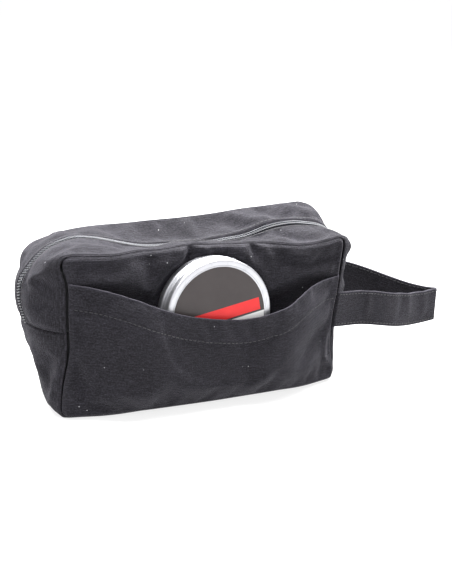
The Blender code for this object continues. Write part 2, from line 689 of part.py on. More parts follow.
def main():
    clear_scene()
    bag = collection("wash_bag")
    cutters = collection("cutters")
    panel = make_panels(bag)
    gusset = make_gussets(bag)
    binding = make_bindings(bag)
    tape, coil = make_zip(bag)
    hang("mouth_hinge", MOUTH_AXIS, panel, gusset, binding, tape, coil)
    make_pocket(bag)
    make_strap(bag)
    make_slider(bag, cutters)
    make_tin(bag)


main()
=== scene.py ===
"""Looks of a soft black canvas shaving kit bag: sewn cloth, coil zip, wrist strap and screw tin."""
import math
import random

import bmesh
import bpy
import numpy as np
from mathutils import Matrix, Vector


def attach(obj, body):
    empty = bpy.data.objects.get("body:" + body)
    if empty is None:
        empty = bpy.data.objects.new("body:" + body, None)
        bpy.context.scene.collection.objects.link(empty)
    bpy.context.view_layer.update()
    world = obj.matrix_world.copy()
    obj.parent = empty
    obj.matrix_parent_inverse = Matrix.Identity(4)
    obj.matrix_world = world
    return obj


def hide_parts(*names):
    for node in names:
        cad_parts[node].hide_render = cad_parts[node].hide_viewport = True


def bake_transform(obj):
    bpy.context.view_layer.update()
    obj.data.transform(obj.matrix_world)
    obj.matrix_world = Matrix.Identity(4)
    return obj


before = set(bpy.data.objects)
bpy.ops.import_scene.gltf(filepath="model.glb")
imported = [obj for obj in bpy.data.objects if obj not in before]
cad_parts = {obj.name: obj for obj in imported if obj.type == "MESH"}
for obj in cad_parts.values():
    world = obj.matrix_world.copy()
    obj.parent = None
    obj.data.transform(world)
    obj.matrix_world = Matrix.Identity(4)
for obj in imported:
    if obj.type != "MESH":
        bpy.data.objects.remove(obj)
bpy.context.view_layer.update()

# ---------------------------------------------------------------- sizes shared with the CAD part
PANEL_WIDTH = 0.219
PANEL_HEIGHT = 0.113
BAG_DEPTH = 0.072
CLOTH = 0.0016
GAP = 0.0004
SEAM_RADIUS = 0.008
SHOULDER_RADIUS = 0.022
HEEL_RADIUS = 0.012
CROSS_SEAM_HEIGHT = 0.061
END_PUFF = 0.015
END_PUFF_AT_BASE = 0.004
BACK_BULGE = 0.004
BELLY = 0.008
BELLY_HEIGHT = 0.022
WAIST = 0.003
BACK_TWIST = 0.010
TOP_SAG = 0.008
TOP_SAG_REACH = 0.062
CORNER_TUCK = 0.012
ZIP_OPENING = 0.0080
TIN_RADIUS = 0.0415
TIN_DEPTH = 0.020
LID_SKIRT = 0.012
LID_TRAVEL = 0.0018
TIN_X = 0.001
TIN_Z = 0.0663
TIN_LEAN = math.radians(3.0)
TIN_PRESS = 0.0045
TIN_SEAT = 0.0005
LABEL_RADIUS = 0.035
PRESS_REACH = 0.034
PRESS_BLEND = 0.030
POCKET_SLACK = 0.0008
POCKET_BASE_RISE = 0.023
POCKET_FLANK = 0.060
STRAP_WIDTH = 0.027
STRAP_THICKNESS = 0.0026
STRAP_REACH = 0.114
STRAP_ROOT_HEIGHT = 0.058
STRAP_DROOP = 0.016
STRAP_FOLD_OFFSET = -0.004
STRAP_FOLD_RADIUS = 0.0032
STRAP_PIVOT_REACH = 0.018
MOUTH_LINE = ((-0.110, 0.0960), (-0.070, 0.0870), (-0.030, 0.0730), (0.005, 0.0660),
              (0.030, 0.0650), (0.055, 0.0705), (0.080, 0.0820), (0.110, 0.0840))
HALF_WIDTH = PANEL_WIDTH / 2
HALF_DEPTH = BAG_DEPTH / 2
PIVOT_X = HALF_WIDTH + STRAP_PIVOT_REACH
FOLD_X = HALF_WIDTH + STRAP_REACH - STRAP_FOLD_RADIUS
UPPER_RISE = 4 / 14
UPPER_TURN = 8 / 14
LOWER_FALL = 5 / 14
LOWER_TURN = 8 / 14

# ---------------------------------------------------------------- sizes of the sewing
SKIN = 0.0012                # canvas as it shows
ROLL = 0.0014                # how deep the cloth turns in at a seam
ROLL_WIDTH = 0.0022
RIDGE = 0.0007
HEM_WIDTH = 0.018
HEM_RAISE = 0.0007
ZIP_STITCH = 0.0030          # topstitching beside the zip
STITCH_LENGTH = 0.0026
STITCH_GAP = 0.0008
STITCH_RADIUS = 0.00026
TOOTH_PITCH = 0.0020
SEWN_EDGE = 0.0036           # cloth this close to an edge is held by its seam
ZIP_STRIP_LENGTH = 0.352
BASE_STRIP_LENGTH = 0.335
FRONT_SLIT_LAP = 0.0008      # how far the cloth reaches over the zip's slit
BACK_SLIT_LAP = 0.0001
SHOWN_TIN_INSET = 0.0012     # the shown tin's radius under the CAD's
STRAP_DROP = 0.0025
BAND_DROP = 0.0045           # tapes and bindings hang this far inside the creased canvas

# Measured places of the seams, as (x, z) in millimetres. A fitting program worked these points out, and
# they were copied in from it, apart from the heights of BACK_LINE and from the two LEFT_..._LINE tables
# of the end, which were set by hand.
ZIP_LINE = ((-123.3, 63.5), (-126.4, 72.9), (-127.6, 83.8), (-126.2, 90.7), (-119.1, 99.5), (-109.9, 110.3),
            (-102.8, 114.2), (-95.3, 116.8), (-87.1, 118.3), (-81.6, 117.5), (-61.9, 113.7), (-42.7, 108.8),
            (-28.4, 107.0), (-11.0, 107.0), (10.0, 106.0), (28.4, 107.9), (44.1, 109.0), (61.1, 114.3),
            (76.2, 116.5), (90.2, 116.6), (107.6, 112.6))
BACK_LINE = ((-114.5, 102.4), (-104.6, 109.0), (-84.6, 114.6), (-55.8, 117.8), (-20.8, 119.4), (15.3, 120.4),
             (49.8, 122.4), (95.8, 124.3), (113.0, 122.4))
FRONT_LINE = ((-106.9, 114.8), (-82.0, 113.6), (-62.9, 113.5), (-43.6, 113.6), (-24.0, 114.5), (-11.7, 116.4),
              (0.0, 114.9), (10.3, 114.7), (30.9, 113.3), (38.1, 113.4), (52.9, 110.9), (71.2, 109.9),
              (82.9, 109.9), (93.9, 111.1), (109.4, 111.7))
FRONT_LEFT_LINE = ((-109.2, 112.3), (-109.3, 107.6), (-105.1, 96.9), (-104.8, 84.5), (-104.5, 63.4),
                   (-103.8, 50.6), (-104.3, 43.5), (-106.4, 33.7), (-108.6, 23.8), (-109.5, 10.8),
                   (-107.7, 0.9))
FRONT_RIGHT_LINE = ((111.1, 109.8), (110.4, 100.3), (109.5, 90.0), (108.8, 82.5), (107.0, 63.7),
                    (105.6, 53.5), (104.6, 43.7), (105.3, 33.6), (106.2, 23.0), (108.0, 12.2), (106.7, 0.9))
LEFT_END_LINE = ((-122.6, 90.0), (-123.4, 80.0), (-122.6, 66.0), (-119.0, 52.0), (-114.2, 38.0),
                 (-109.6, 24.0), (-105.8, 10.0))
LEFT_BACK_LINE = ((-117.6, 90.0), (-118.6, 80.0), (-117.8, 66.0), (-115.0, 52.0), (-111.0, 38.0),
                  (-106.0, 24.0), (-102.6, 10.0))
BACK_LEFT_LINE = ((-117.7, 82.7), (-115.7, 52.8), (-113.4, 41.5), (-107.8, 28.5), (-104.0, 17.8),
                  (-102.5, 7.4))


# ---------------------------------------------------------------- making objects
def placed(across, along, out, origin):
    """Matrix with three axes and an origin as its columns."""
    place = Matrix.Identity(4)
    for column, axis in enumerate((across, along, out, origin)):
        for row in range(3):
            place[row][column] = axis[row]
    return place


def mesh_of(bm, name):
    mesh = bpy.data.meshes.new(name)
    bm.to_mesh(mesh)
    bm.free()
    return mesh


def linked(name, data):
    obj = bpy.data.objects.new(name, data)
    bpy.context.scene.collection.objects.link(obj)
    return obj


# ---------------------------------------------------------------- shape of the soft bag
def smooth(t):
    t = min(1.0, max(0.0, t))
    return t * t * (3.0 - 2.0 * t)


def line_through(points, x):
    """Smooth curve through (x, value) pairs, with slopes taken from the neighbours."""
    x = min(points[-1][0], max(points[0][0], x))
    last = len(points) - 2
    k = next((i for i in range(last + 1) if x <= points[i + 1][0]), last)
    (x0, v0), (x1, v1) = points[k], points[k + 1]

    def slope(i):
        low, high = points[max(0, i - 1)], points[min(len(points) - 1, i + 1)]
        return (high[1] - low[1]) / (high[0] - low[0])

    span = x1 - x0
    t = (x - x0) / span
    return ((2 * t ** 3 - 3 * t ** 2 + 1) * v0 + (t ** 3 - 2 * t ** 2 + t) * span * slope(k)
            + (3 * t ** 2 - 2 * t ** 3) * v1 + (t ** 3 - t ** 2) * span * slope(k + 1))


def tin_press(x, z):
    across = smooth((TIN_RADIUS + PRESS_REACH - abs(x - TIN_X)) / PRESS_BLEND)
    return max(0.0, TIN_PRESS + TIN_SEAT + (z - TIN_Z) * math.tan(TIN_LEAN)) * across


def settle(x, y, z):
    """Move a point of the squared-up bag to where the soft bag lets it sag."""
    a = x / HALF_WIDTH
    b = y / HALF_DEPTH
    c = z / PANEL_HEIGHT
    front = smooth(-b / 0.8)
    back = smooth((b + 1.0) / 2.0)
    above = max(0.0, (z - CROSS_SEAM_HEIGHT) / (PANEL_HEIGHT - CROSS_SEAM_HEIGHT))
    below = max(0.0, 1.0 - z / CROSS_SEAM_HEIGHT)
    dip = math.exp(-(x / TOP_SAG_REACH) ** 2)
    x_out = x - WAIST * a * 4.0 * max(0.0, c * (1.0 - c)) + CORNER_TUCK * below * back * smooth(-a)
    belly = smooth(1.0 - z / BELLY_HEIGHT) * max(0.0, 1.0 - a * a)
    y_out = y + (tin_press(x, z) - BELLY * belly) * front
    z_out = z + above * (BACK_TWIST * a * back - TOP_SAG * dip * max(0.0, 1.0 - b * b))
    return Vector((x_out, y_out, z_out))


def end_puff(z):
    low = END_PUFF_AT_BASE
    return low + (END_PUFF - low) * smooth(z / CROSS_SEAM_HEIGHT)


def upper_loop(t, y, depth):
    """Point on the zipped strip, which goes up the left end, over the top and down the right end."""
    b = min(1.0, abs(y / HALF_DEPTH))
    radius = SHOULDER_RADIUS + (SEAM_RADIUS - SHOULDER_RADIUS) * b * b
    half = HALF_WIDTH + END_PUFF * (1.0 - b ** 3)
    side = 1.0 if t > 0.5 else -1.0
    t = 2.0 * (1.0 - t) if t > 0.5 else 2.0 * t
    if t <= UPPER_RISE:
        foot = CROSS_SEAM_HEIGHT
        x = half
        z = foot + (PANEL_HEIGHT - radius - foot) * t / UPPER_RISE
        angle = 0.0
    elif t <= UPPER_TURN:
        angle = 0.5 * math.pi * (t - UPPER_RISE) / (UPPER_TURN - UPPER_RISE)
        x = half - radius + radius * math.cos(angle)
        z = PANEL_HEIGHT - radius + radius * math.sin(angle)
    else:
        x = (half - radius) * (1.0 - t) / (1.0 - UPPER_TURN)
        z = PANEL_HEIGHT
        angle = 0.5 * math.pi
    return settle(side * (x - depth * math.cos(angle)), y, z - depth * math.sin(angle))


def lower_loop(t, y, depth):
    """Point on the base strip, which goes down the right end, under the bag and up the left end."""
    b = min(1.0, abs(y / HALF_DEPTH))
    radius = HEEL_RADIUS + (SEAM_RADIUS - HEEL_RADIUS) * b * b
    side = -1.0 if t > 0.5 else 1.0
    t = 2.0 * (1.0 - t) if t > 0.5 else 2.0 * t
    if t <= LOWER_FALL:
        top = CROSS_SEAM_HEIGHT
        x = HALF_WIDTH
        z = top + (radius - top) * t / LOWER_FALL
        angle = 0.0
    elif t <= LOWER_TURN:
        angle = 0.5 * math.pi * (t - LOWER_FALL) / (LOWER_TURN - LOWER_FALL)
        x = HALF_WIDTH - radius + radius * math.cos(angle)
        z = radius - radius * math.sin(angle)
    else:
        x = (HALF_WIDTH - radius) * (1.0 - t) / (1.0 - LOWER_TURN)
        z = 0.0
        angle = 0.5 * math.pi
    x += end_puff(z) * (1.0 - b ** 3) * smooth(x / (HALF_WIDTH - radius))
    return settle(side * (x - depth * math.cos(angle)), y, z + depth * math.sin(angle))


def panel_half(z):
    """Half the width of a panel between its rolled-in side edges."""
    edge = min(z, PANEL_HEIGHT - z)
    cut = max(0.0, SEAM_RADIUS - edge)
    return HALF_WIDTH - SEAM_RADIUS + math.sqrt(max(0.0, (SEAM_RADIUS - ROLL) ** 2 - cut ** 2))


def roll(distance):
    """How far the cloth turns in beside a seam, with the swelling of the folded layers next to it."""
    ridge = RIDGE * math.exp(-((distance - 0.0026) / 0.0014) ** 2)
    return ROLL * (1.0 - smooth(distance / ROLL_WIDTH)) - ridge


# ---------------------------------------------------------------- how the seams have settled
class Sag:
    """Smooth pull that brings the seams of the squared-up bag to where they lie, fading away from them."""
    REACH = 0.024

    def __init__(self):
        self.at = []
        self.move = []
        tops = np.linspace(0.0, 1.0, 500)
        for line, y in ((ZIP_LINE, 0.0), (BACK_LINE, HALF_DEPTH), (FRONT_LINE, -HALF_DEPTH),
                        (FRONT_LEFT_LINE, -HALF_DEPTH), (FRONT_RIGHT_LINE, -HALF_DEPTH),
                        (BACK_LEFT_LINE, HALF_DEPTH), (LEFT_END_LINE, HALF_DEPTH / 2),
                        (LEFT_BACK_LINE, HALF_DEPTH * 0.75)):
            curve = np.array([upper_loop(t, y, 0.0) for t in tops] + [lower_loop(t, y, 0.0) for t in tops])
            for x, z in line:
                gap = (curve[:, 0] - x / 1000) ** 2 + (curve[:, 2] - z / 1000) ** 2
                near = curve[gap.argmin()]
                self.pull(near, (x / 1000 - near[0], 0.0, z / 1000 - near[2]))
        for x in (-0.085, -0.045, 0.0, 0.045, 0.085):
            y = -0.0036 if abs(x) < 0.08 else -0.0042
            self.pull(lower_loop(0.5 - 0.5 * x / HALF_WIDTH * (1 - LOWER_TURN), -HALF_DEPTH, 0.0), (0, y, 0))
            self.pull((x, 0.0, 0.0), (0, 0, 0))
            self.pull((x, HALF_DEPTH, 0.0), (0, 0, 0))
        for z in (0.061, 0.070, 0.080, 0.090, 0.097):
            self.pull((0.1245 - 0.0015, 0.0, z), (0, 0, 0))
        for z in (0.020, 0.040, 0.060):
            self.pull((0.108, HALF_DEPTH, z), (0, 0, 0))
            self.pull((0.119, 0.0, z), (0, 0, 0))
        for degrees in range(0, 360, 45):
            turn = math.radians(degrees)
            self.pull((TIN_X + 0.036 * math.cos(turn), -HALF_DEPTH + 0.004, TIN_Z - 0.004
                       + 0.036 * math.sin(turn)), (0, 0, 0))
        at = np.array(self.at)
        reach = np.linalg.norm(at[:, None] - at[None], axis=2) / self.REACH
        kernel = np.exp(-reach) * (1.0 + reach) + 0.02 * np.eye(len(at))
        self.weights = np.linalg.solve(kernel, np.array(self.move))
        self.at = at

    def pull(self, near, move):
        self.at.append(tuple(near))
        self.move.append(tuple(move))

    def __call__(self, points):
        reach = np.linalg.norm(points[:, None] - self.at[None], axis=2) / self.REACH
        return (np.exp(-reach) * (1.0 + reach)) @ self.weights


sag = Sag()


def crease(points, axes, line, width, height):
    """How far each point is raised by a fold that runs along a line, given in two of the axes."""
    flat = points[:, axes]
    best = np.full(len(flat), 1e9)
    along = np.zeros(len(flat))
    line = np.array(line) / 1000
    spans = np.linalg.norm(line[1:] - line[:-1], axis=1)
    start = 0.0
    for a, b, span in zip(line[:-1], line[1:], spans):
        t = np.clip(((flat - a) @ (b - a)) / span ** 2, 0.0, 1.0)
        gap = np.linalg.norm(flat - (a + t[:, None] * (b - a)), axis=1)
        nearer = gap < best
        best = np.where(nearer, gap, best)
        along = np.where(nearer, start + t * span, along)
        start += span
    share = along / spans.sum()
    taper = np.clip(4.0 * share * (1.0 - share) * 1.6, 0.12, 1.0)
    return height / 1000 * taper * np.exp(-(best / (width / 1000)) ** 2)


def folded(points, axes, *folds):
    """Several folds together, each with its line, width and height. Below zero it is a furrow."""
    total = 0.0
    for line, width, height in folds:
        total = total + crease(points, axes, line, width, height)
    return total


# ---------------------------------------------------------------- sewn pieces
def spaced(length, step, fine=True):
    """Parameters from 0 to 1 along a length, closer together at both edges where the cloth turns in."""
    edge = [0.0, 0.0007, 0.0014, 0.0022, 0.0032] if fine else [0.0]
    inner = length - 2 * edge[-1]
    count = max(2, round(inner / step))
    middle = [edge[-1] + inner * i / count for i in range(count + 1)]
    marks = edge[:-1] + middle + [length - e for e in reversed(edge[:-1])]
    return np.array(marks) / length


class Cloth:
    """A piece of canvas as a grid laid on a surface, with its own UV map in metres."""

    def __init__(self, name, surface, size, step=0.0026, fine=(True, True), field=None):
        self.name = name
        self.size = size
        self.us = spaced(size[0], step, fine[0])
        self.ws = spaced(size[1], step, fine[1])
        across, up = len(self.us), len(self.ws)
        self.shape = (up, across)
        points = np.array([surface(u, w) for w in self.ws for u in self.us])
        where = points if field is None else field(points)
        self.points = points + sag(where)
        self.edge_lightening = np.zeros(len(points))

    def raise_by(self, amount, direction):
        self.points = self.points + amount[:, None] * np.array(direction)

    def grid(self):
        return self.points.reshape(*self.shape, 3)

    def at(self, u, w):
        """Point, tangent along u and outward normal at a place on the finished piece."""
        grid = self.grid()

        def spot(u, w):
            u, w = min(1.0, max(0.0, u)), min(1.0, max(0.0, w))
            i = min(len(self.us) - 2, int(np.searchsorted(self.us, u, "right")) - 1)
            j = min(len(self.ws) - 2, int(np.searchsorted(self.ws, w, "right")) - 1)
            a = (u - self.us[i]) / (self.us[i + 1] - self.us[i])
            b = (w - self.ws[j]) / (self.ws[j + 1] - self.ws[j])
            low = grid[j, i] * (1 - a) + grid[j, i + 1] * a
            high = grid[j + 1, i] * (1 - a) + grid[j + 1, i + 1] * a
            return Vector(low * (1 - b) + high * b)

        step_u, step_w = 0.001 / self.size[0], 0.001 / self.size[1]
        along = (spot(u + step_u, w) - spot(u - step_u, w)).normalized()
        up = (spot(u, w + step_w) - spot(u, w - step_w)).normalized()
        return spot(u, w), along, along.cross(up).normalized() * self.facing

    def sheet(self):
        """The grid as a single layer, its faces turned outwards."""
        up, across = self.shape
        bm = bmesh.new()
        bmesh.ops.create_grid(bm, x_segments=across - 1, y_segments=up - 1, size=0.5)
        bm.verts.ensure_lookup_table()
        order = [(round((v.co.y + 0.5) * (up - 1)), round((v.co.x + 0.5) * (across - 1))) for v in bm.verts]
        self.order = [j * across + i for j, i in order]
        layer = bm.loops.layers.uv.new("UVMap")
        for face in bm.faces:
            for loop in face.loops:
                j, i = order[loop.vert.index]
                loop[layer].uv = (self.us[i] * self.size[0], self.ws[j] * self.size[1])
        for vert, place in zip(bm.verts, self.order):
            vert.co = self.points[place]
        bm.normal_update()
        total = 0.0
        for face in bm.faces:
            out = face.calc_center_median() - BAG_HEART if self.outward is None else self.outward
            total += face.normal.dot(out) * face.calc_area()
        self.facing = 1.0 if total > 0 else -1.0
        if total < 0:
            bmesh.ops.reverse_faces(bm, faces=bm.faces)
        return linked(self.name, mesh_of(bm, self.name))

    outward = None
    facing = 1.0


BAG_HEART = Vector((0.0, 0.0, 0.055))
SIM_SCALE = 10.0


def relax(cloth, obj, sewn, growth, push, cap, frames=22, bending=4.0):
    """Give the cloth a little more length than its seams leave it, and let it find its own wrinkles."""
    mesh = obj.data
    group = obj.vertex_groups.new(name="sewn")
    for index, place in enumerate(cloth.order):
        if sewn[place] > 0.0:
            group.add([index], float(sewn[place]), "REPLACE")
    for vert in mesh.vertices:
        vert.co *= SIM_SCALE
    modifier = obj.modifiers.new("cloth", "CLOTH")
    settings = modifier.settings
    settings.quality = 6
    settings.mass = 0.3
    settings.tension_stiffness = 20.0
    settings.compression_stiffness = 20.0
    settings.shear_stiffness = 8.0
    settings.bending_stiffness = bending
    settings.air_damping = 2.0
    settings.vertex_group_mass = "sewn"
    settings.shrink_min = -growth
    settings.use_pressure = push != 0.0
    settings.uniform_pressure_force = push
    settings.effector_weights.gravity = 0.0
    scene = bpy.context.scene
    modifier.point_cache.frame_start = 1
    modifier.point_cache.frame_end = frames
    for number in range(1, frames + 1):
        scene.frame_set(number)
    settled = obj.evaluated_get(bpy.context.evaluated_depsgraph_get()).data
    new = np.zeros(len(mesh.vertices) * 3)
    settled.vertices.foreach_get("co", new)
    new = new.reshape(-1, 3) / SIM_SCALE
    obj.modifiers.remove(modifier)
    obj.vertex_groups.remove(group)
    scene.frame_set(1)
    before = cloth.points[cloth.order]
    move = new - before
    far = np.linalg.norm(move, axis=1)
    limit = cap[cloth.order] if hasattr(cap, "__len__") else np.full(len(far), cap)
    bounded = limit * np.tanh(far / np.maximum(limit, 1e-9))
    move *= (bounded / np.maximum(far, 1e-9))[:, None]
    print("relax", cloth.name, "moved at most %.2f mm" % (bounded.max() * 1000))
    cloth.points[cloth.order] = before + move
    for vert, place in zip(mesh.vertices, cloth.order):
        vert.co = cloth.points[place]


def finish_cloth(cloth, obj, finish, thickness=SKIN, levels=1):
    """Give the sheet its thickness and a finer, rounder surface, and keep the result as its mesh."""
    # Share by which the canvas colour is made lighter near some of the piece's edges.
    edge_lightening = obj.data.attributes.new("lighter_edges", "FLOAT", "POINT")
    edge_lightening.data.foreach_set("value", cloth.edge_lightening[cloth.order].astype(np.float32))
    for vert, place in zip(obj.data.vertices, cloth.order):
        vert.co = cloth.points[place]
    wall = obj.modifiers.new("wall", "SOLIDIFY")
    wall.thickness = thickness
    wall.offset = -1.0
    wall.use_even_offset = False
    finer = obj.modifiers.new("finer", "SUBSURF")
    finer.levels = levels
    finer.render_levels = levels
    keep_shape(obj)
    obj.data.materials.clear()
    obj.data.materials.append(finish)
    obj.data.shade_smooth()
    return obj


def keep_shape(obj):
    """Replace the mesh by what its modifiers make of it."""
    made = bpy.data.meshes.new_from_object(obj.evaluated_get(bpy.context.evaluated_depsgraph_get()))
    obj.modifiers.clear()
    obj.data = made


def open_back(obj):
    """Bake the placement of a piece behind the zip into its mesh."""
    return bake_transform(obj)


def edge_distance(cloth):
    """Distance of each point from the piece's edges, along u and along w."""
    u = np.minimum(cloth.us, 1 - cloth.us) * cloth.size[0]
    w = np.minimum(cloth.ws, 1 - cloth.ws) * cloth.size[1]
    return np.tile(u, len(w)), np.repeat(w, len(u))


# ---------------------------------------------------------------- node trees
class Value:
    """A socket that can be used in sums."""

    def __init__(self, tree, socket):
        self.tree = tree
        self.socket = socket

    def maths(self, operation, *values):
        return self.tree.node("ShaderNodeMath", {"operation": operation}, dict(enumerate(values)))

    def __add__(self, other):
        return self.maths("ADD", self, other)

    def __radd__(self, other):
        return self.maths("ADD", other, self)

    def __sub__(self, other):
        return self.maths("SUBTRACT", self, other)

    def __rsub__(self, other):
        return self.maths("SUBTRACT", other, self)

    def __mul__(self, other):
        return self.maths("MULTIPLY", self, other)

    def __rmul__(self, other):
        return self.maths("MULTIPLY", other, self)

    def __abs__(self):
        return self.maths("ABSOLUTE", self)

    def sine(self):
        return self.maths("SINE", self)

    def largest(self, other):
        return self.maths("MAXIMUM", self, other)

    def power(self, other):
        return self.maths("POWER", self, other)

    def above(self, low, high):
        """0 below low, 1 above high, and smooth between."""
        return self.tree.node("ShaderNodeMapRange", {"interpolation_type": "SMOOTHSTEP"},
                              {"Value": self, "From Min": low, "From Max": high})

    def part(self, axis):
        split = self.tree.node("ShaderNodeSeparateXYZ", {}, {0: self})
        return Value(self.tree, split.socket.node.outputs[axis])


class Finish:
    """A material and the nodes that feed its shader."""

    def __init__(self, name, **fixed):
        self.material = bpy.data.materials.new(name)
        self.material.use_nodes = True
        self.nodes = self.material.node_tree.nodes
        self.links = self.material.node_tree.links
        self.shader = self.nodes["Principled BSDF"]
        for socket, value in fixed.items():
            self.shader.inputs[socket.replace("_", " ")].default_value = value

    def node(self, kind, settings, values, output=0):
        made = self.nodes.new(kind)
        for key, value in settings.items():
            setattr(made, key, value)
        for key, value in values.items():
            if isinstance(value, Value):
                self.links.new(value.socket, made.inputs[key])
            else:
                made.inputs[key].default_value = value
        return Value(self, made.outputs[output])

    def place(self, which="UV"):
        return self.node("ShaderNodeTexCoord", {}, {}, which)

    def noise(self, place, scale, detail=2.0, roughness=0.5, output="Fac"):
        return self.node("ShaderNodeTexNoise", {}, {"Vector": place, "Scale": scale, "Detail": detail,
                                                     "Roughness": roughness}, output)

    def stretched(self, place, scale, move=(0, 0, 0)):
        return self.node("ShaderNodeMapping", {}, {"Vector": place, "Scale": scale, "Location": move})

    def mix(self, share, first, second):
        return self.node("ShaderNodeMix", {"data_type": "RGBA"}, {0: share, 6: first, 7: second}, 2)

    def bump(self, height, distance, strength=1.0):
        made = self.node("ShaderNodeBump", {}, {"Height": height, "Distance": distance, "Strength": strength})
        self.feed("Normal", made)

    def feed(self, socket, value):
        self.links.new(value.socket, self.shader.inputs[socket])


BLACK = (0.0046, 0.0042, 0.0058, 1.0)
PALE_CANVAS = (0.0380, 0.0355, 0.0460, 1.0)
LINT = (0.42, 0.42, 0.44, 1.0)


def canvas(name, seed=0.0, lint=1.0):
    """Black cotton canvas: ribbed plain weave, slubs, uneven dye, lint, and colour made lighter along some
    edges.
    """
    made = Finish(name, Sheen_Weight=0.12, Sheen_Roughness=0.35, Sheen_Tint=(0.90, 0.87, 1.0, 1.0),
                  Specular_IOR_Level=0.22)
    uv = made.place()
    x, y = uv.part(0), uv.part(1)
    warp = x * (math.pi / 0.00056)
    weft = y * (math.pi / 0.00092)
    over = warp.sine() * weft.sine()
    threads = abs(warp.sine()) * (0.52 - over * 0.38)
    threads = threads.largest(abs(weft.sine()) * (0.72 + over * 0.28))
    speckle = made.noise(made.stretched(uv, (900.0, 1100.0, 1.0), (seed, 0, 0)), 1.0, 1.0)
    slub = made.noise(made.stretched(uv, (170.0, 1150.0, 1.0), (seed, seed, 0)), 1.0, 3.0)
    slub_up = made.noise(made.stretched(uv, (1100.0, 70.0, 1.0), (0, seed, 0)), 1.0, 2.0)
    cloud = made.noise(made.stretched(made.place("Object"), (22.0, 22.0, 22.0), (seed, 0, seed)), 1.0, 4.0)
    fuzz = made.noise(made.place("Object"), 900.0, 2.0)
    # Share by which the colour is made lighter along the pocket's mouth and hem, beside the zip and along the
    # strap's edges.
    lightened = made.node("ShaderNodeAttribute", {"attribute_name": "lighter_edges"}, {}, "Fac")
    shade = cloud.above(0.35, 0.75) * 0.20 + slub.above(0.35, 0.75) * 0.46 + speckle.above(0.38, 0.72) * 0.62
    colour = made.mix(shade * (0.30 + threads * 0.70) + lightened * 0.65, BLACK, PALE_CANVAS)
    fleck = made.node("ShaderNodeTexVoronoi", {"feature": "F1"},
                      {"Vector": made.place("Object"), "Scale": 190.0, "Randomness": 1.0}, "Distance")
    rare = made.noise(made.stretched(made.place("Object"), (75.0, 75.0, 75.0), (seed, 3, 1)), 1.0, 0.0)
    dust = (1.0 - fleck.above(0.05, 0.095)) * rare.above(0.62, 0.68)
    colour = made.mix(dust * lint, colour, LINT)
    made.feed("Base Color", colour)
    made.feed("Roughness", 0.96 - slub * 0.16)
    height = threads * 0.60 + slub * 0.9 + slub_up * 0.4 + fuzz * 0.35 + speckle * 0.5 + cloud * 0.4
    made.bump(height, 0.00050, 1.0)
    return made.material


def woven_tape(name):
    made = Finish(name, Roughness=0.8, Sheen_Weight=0.15, Specular_IOR_Level=0.3)
    uv = made.place()
    rib = (uv.part(0) * (math.pi / 0.0006)).sine()
    cross = (uv.part(1) * (math.pi / 0.0005)).sine()
    weave = abs(rib) * (0.7 + cross * 0.3)
    made.feed("Base Color", made.mix(weave * 0.6, (0.010, 0.010, 0.012, 1), (0.030, 0.030, 0.034, 1)))
    made.feed("Roughness", 0.85 - weave * 0.15)
    made.bump(weave, 0.0002, 0.8)
    return made.material


def thread(name, colour):
    made = Finish(name, Roughness=0.6, Sheen_Weight=0.2)
    place = made.place("Object")
    twist = made.noise(made.stretched(place, (2600.0, 2600.0, 900.0)), 1.0, 1.0)
    made.feed("Base Color", made.mix(twist, (*[c * 0.6 for c in colour], 1), (*colour, 1)))
    made.feed("Roughness", 0.7 - twist * 0.2)
    made.bump(twist, 0.0001, 0.6)
    return made.material


def nylon(name):
    made = Finish(name, Coat_Weight=0.15, Specular_IOR_Level=0.5)
    place = made.place("Object")
    cloud = made.noise(place, 350.0, 3.0)
    made.feed("Base Color", made.mix(cloud, (0.030, 0.031, 0.038, 1), (0.075, 0.078, 0.090, 1)))
    made.feed("Roughness", 0.30 + cloud * 0.25)
    made.bump(cloud, 0.00008, 0.5)
    return made.material


def plated(name):
    made = Finish(name, Metallic=1.0)
    place = made.place("Object")
    cloud = made.noise(place, 260.0, 4.0)
    lightened = made.noise(place, 900.0, 3.0).above(0.55, 0.75)
    base = made.mix(cloud, (0.20, 0.20, 0.215, 1), (0.34, 0.34, 0.36, 1))
    made.feed("Base Color", made.mix(lightened * 0.4, base, (0.5, 0.5, 0.5, 1)))
    made.feed("Roughness", 0.24 + cloud * 0.22)
    made.bump(cloud, 0.00006, 0.4)
    return made.material


def tin_place(made):
    """The tin's own X and Z, measured from its middle, and the distance from its axis."""
    place = made.stretched(made.place("Object"), (1, 1, 1), (-TIN_X, 0, -TIN_Z))
    x, z = place.part(0), place.part(2)
    return x, z, (x * x + z * z).power(0.5)


def aluminium(name):
    """Rolled sheet with fine turning lines and a few handling marks."""
    made = Finish(name, Metallic=1.0)
    x, z, radius = tin_place(made)
    lines = made.node("ShaderNodeTexNoise", {"noise_dimensions": "1D"}, {"W": radius * 9000.0, "Detail": 2.0})
    cloud = made.noise(made.place("Object"), 120.0, 3.0)
    marks = made.noise(made.stretched(made.place("Object"), (500.0, 90.0, 160.0)), 1.0, 4.0).above(0.6, 0.72)
    colour = made.mix(cloud, (0.52, 0.53, 0.56, 1), (0.62, 0.62, 0.65, 1))
    made.feed("Base Color", made.mix(marks * 0.35, colour, (0.46, 0.46, 0.49, 1)))
    made.feed("Roughness", 0.36 + lines * 0.12 + marks * 0.12)
    made.bump(lines * 0.6 + marks * 0.3, 0.00005, 0.5)
    return made.material


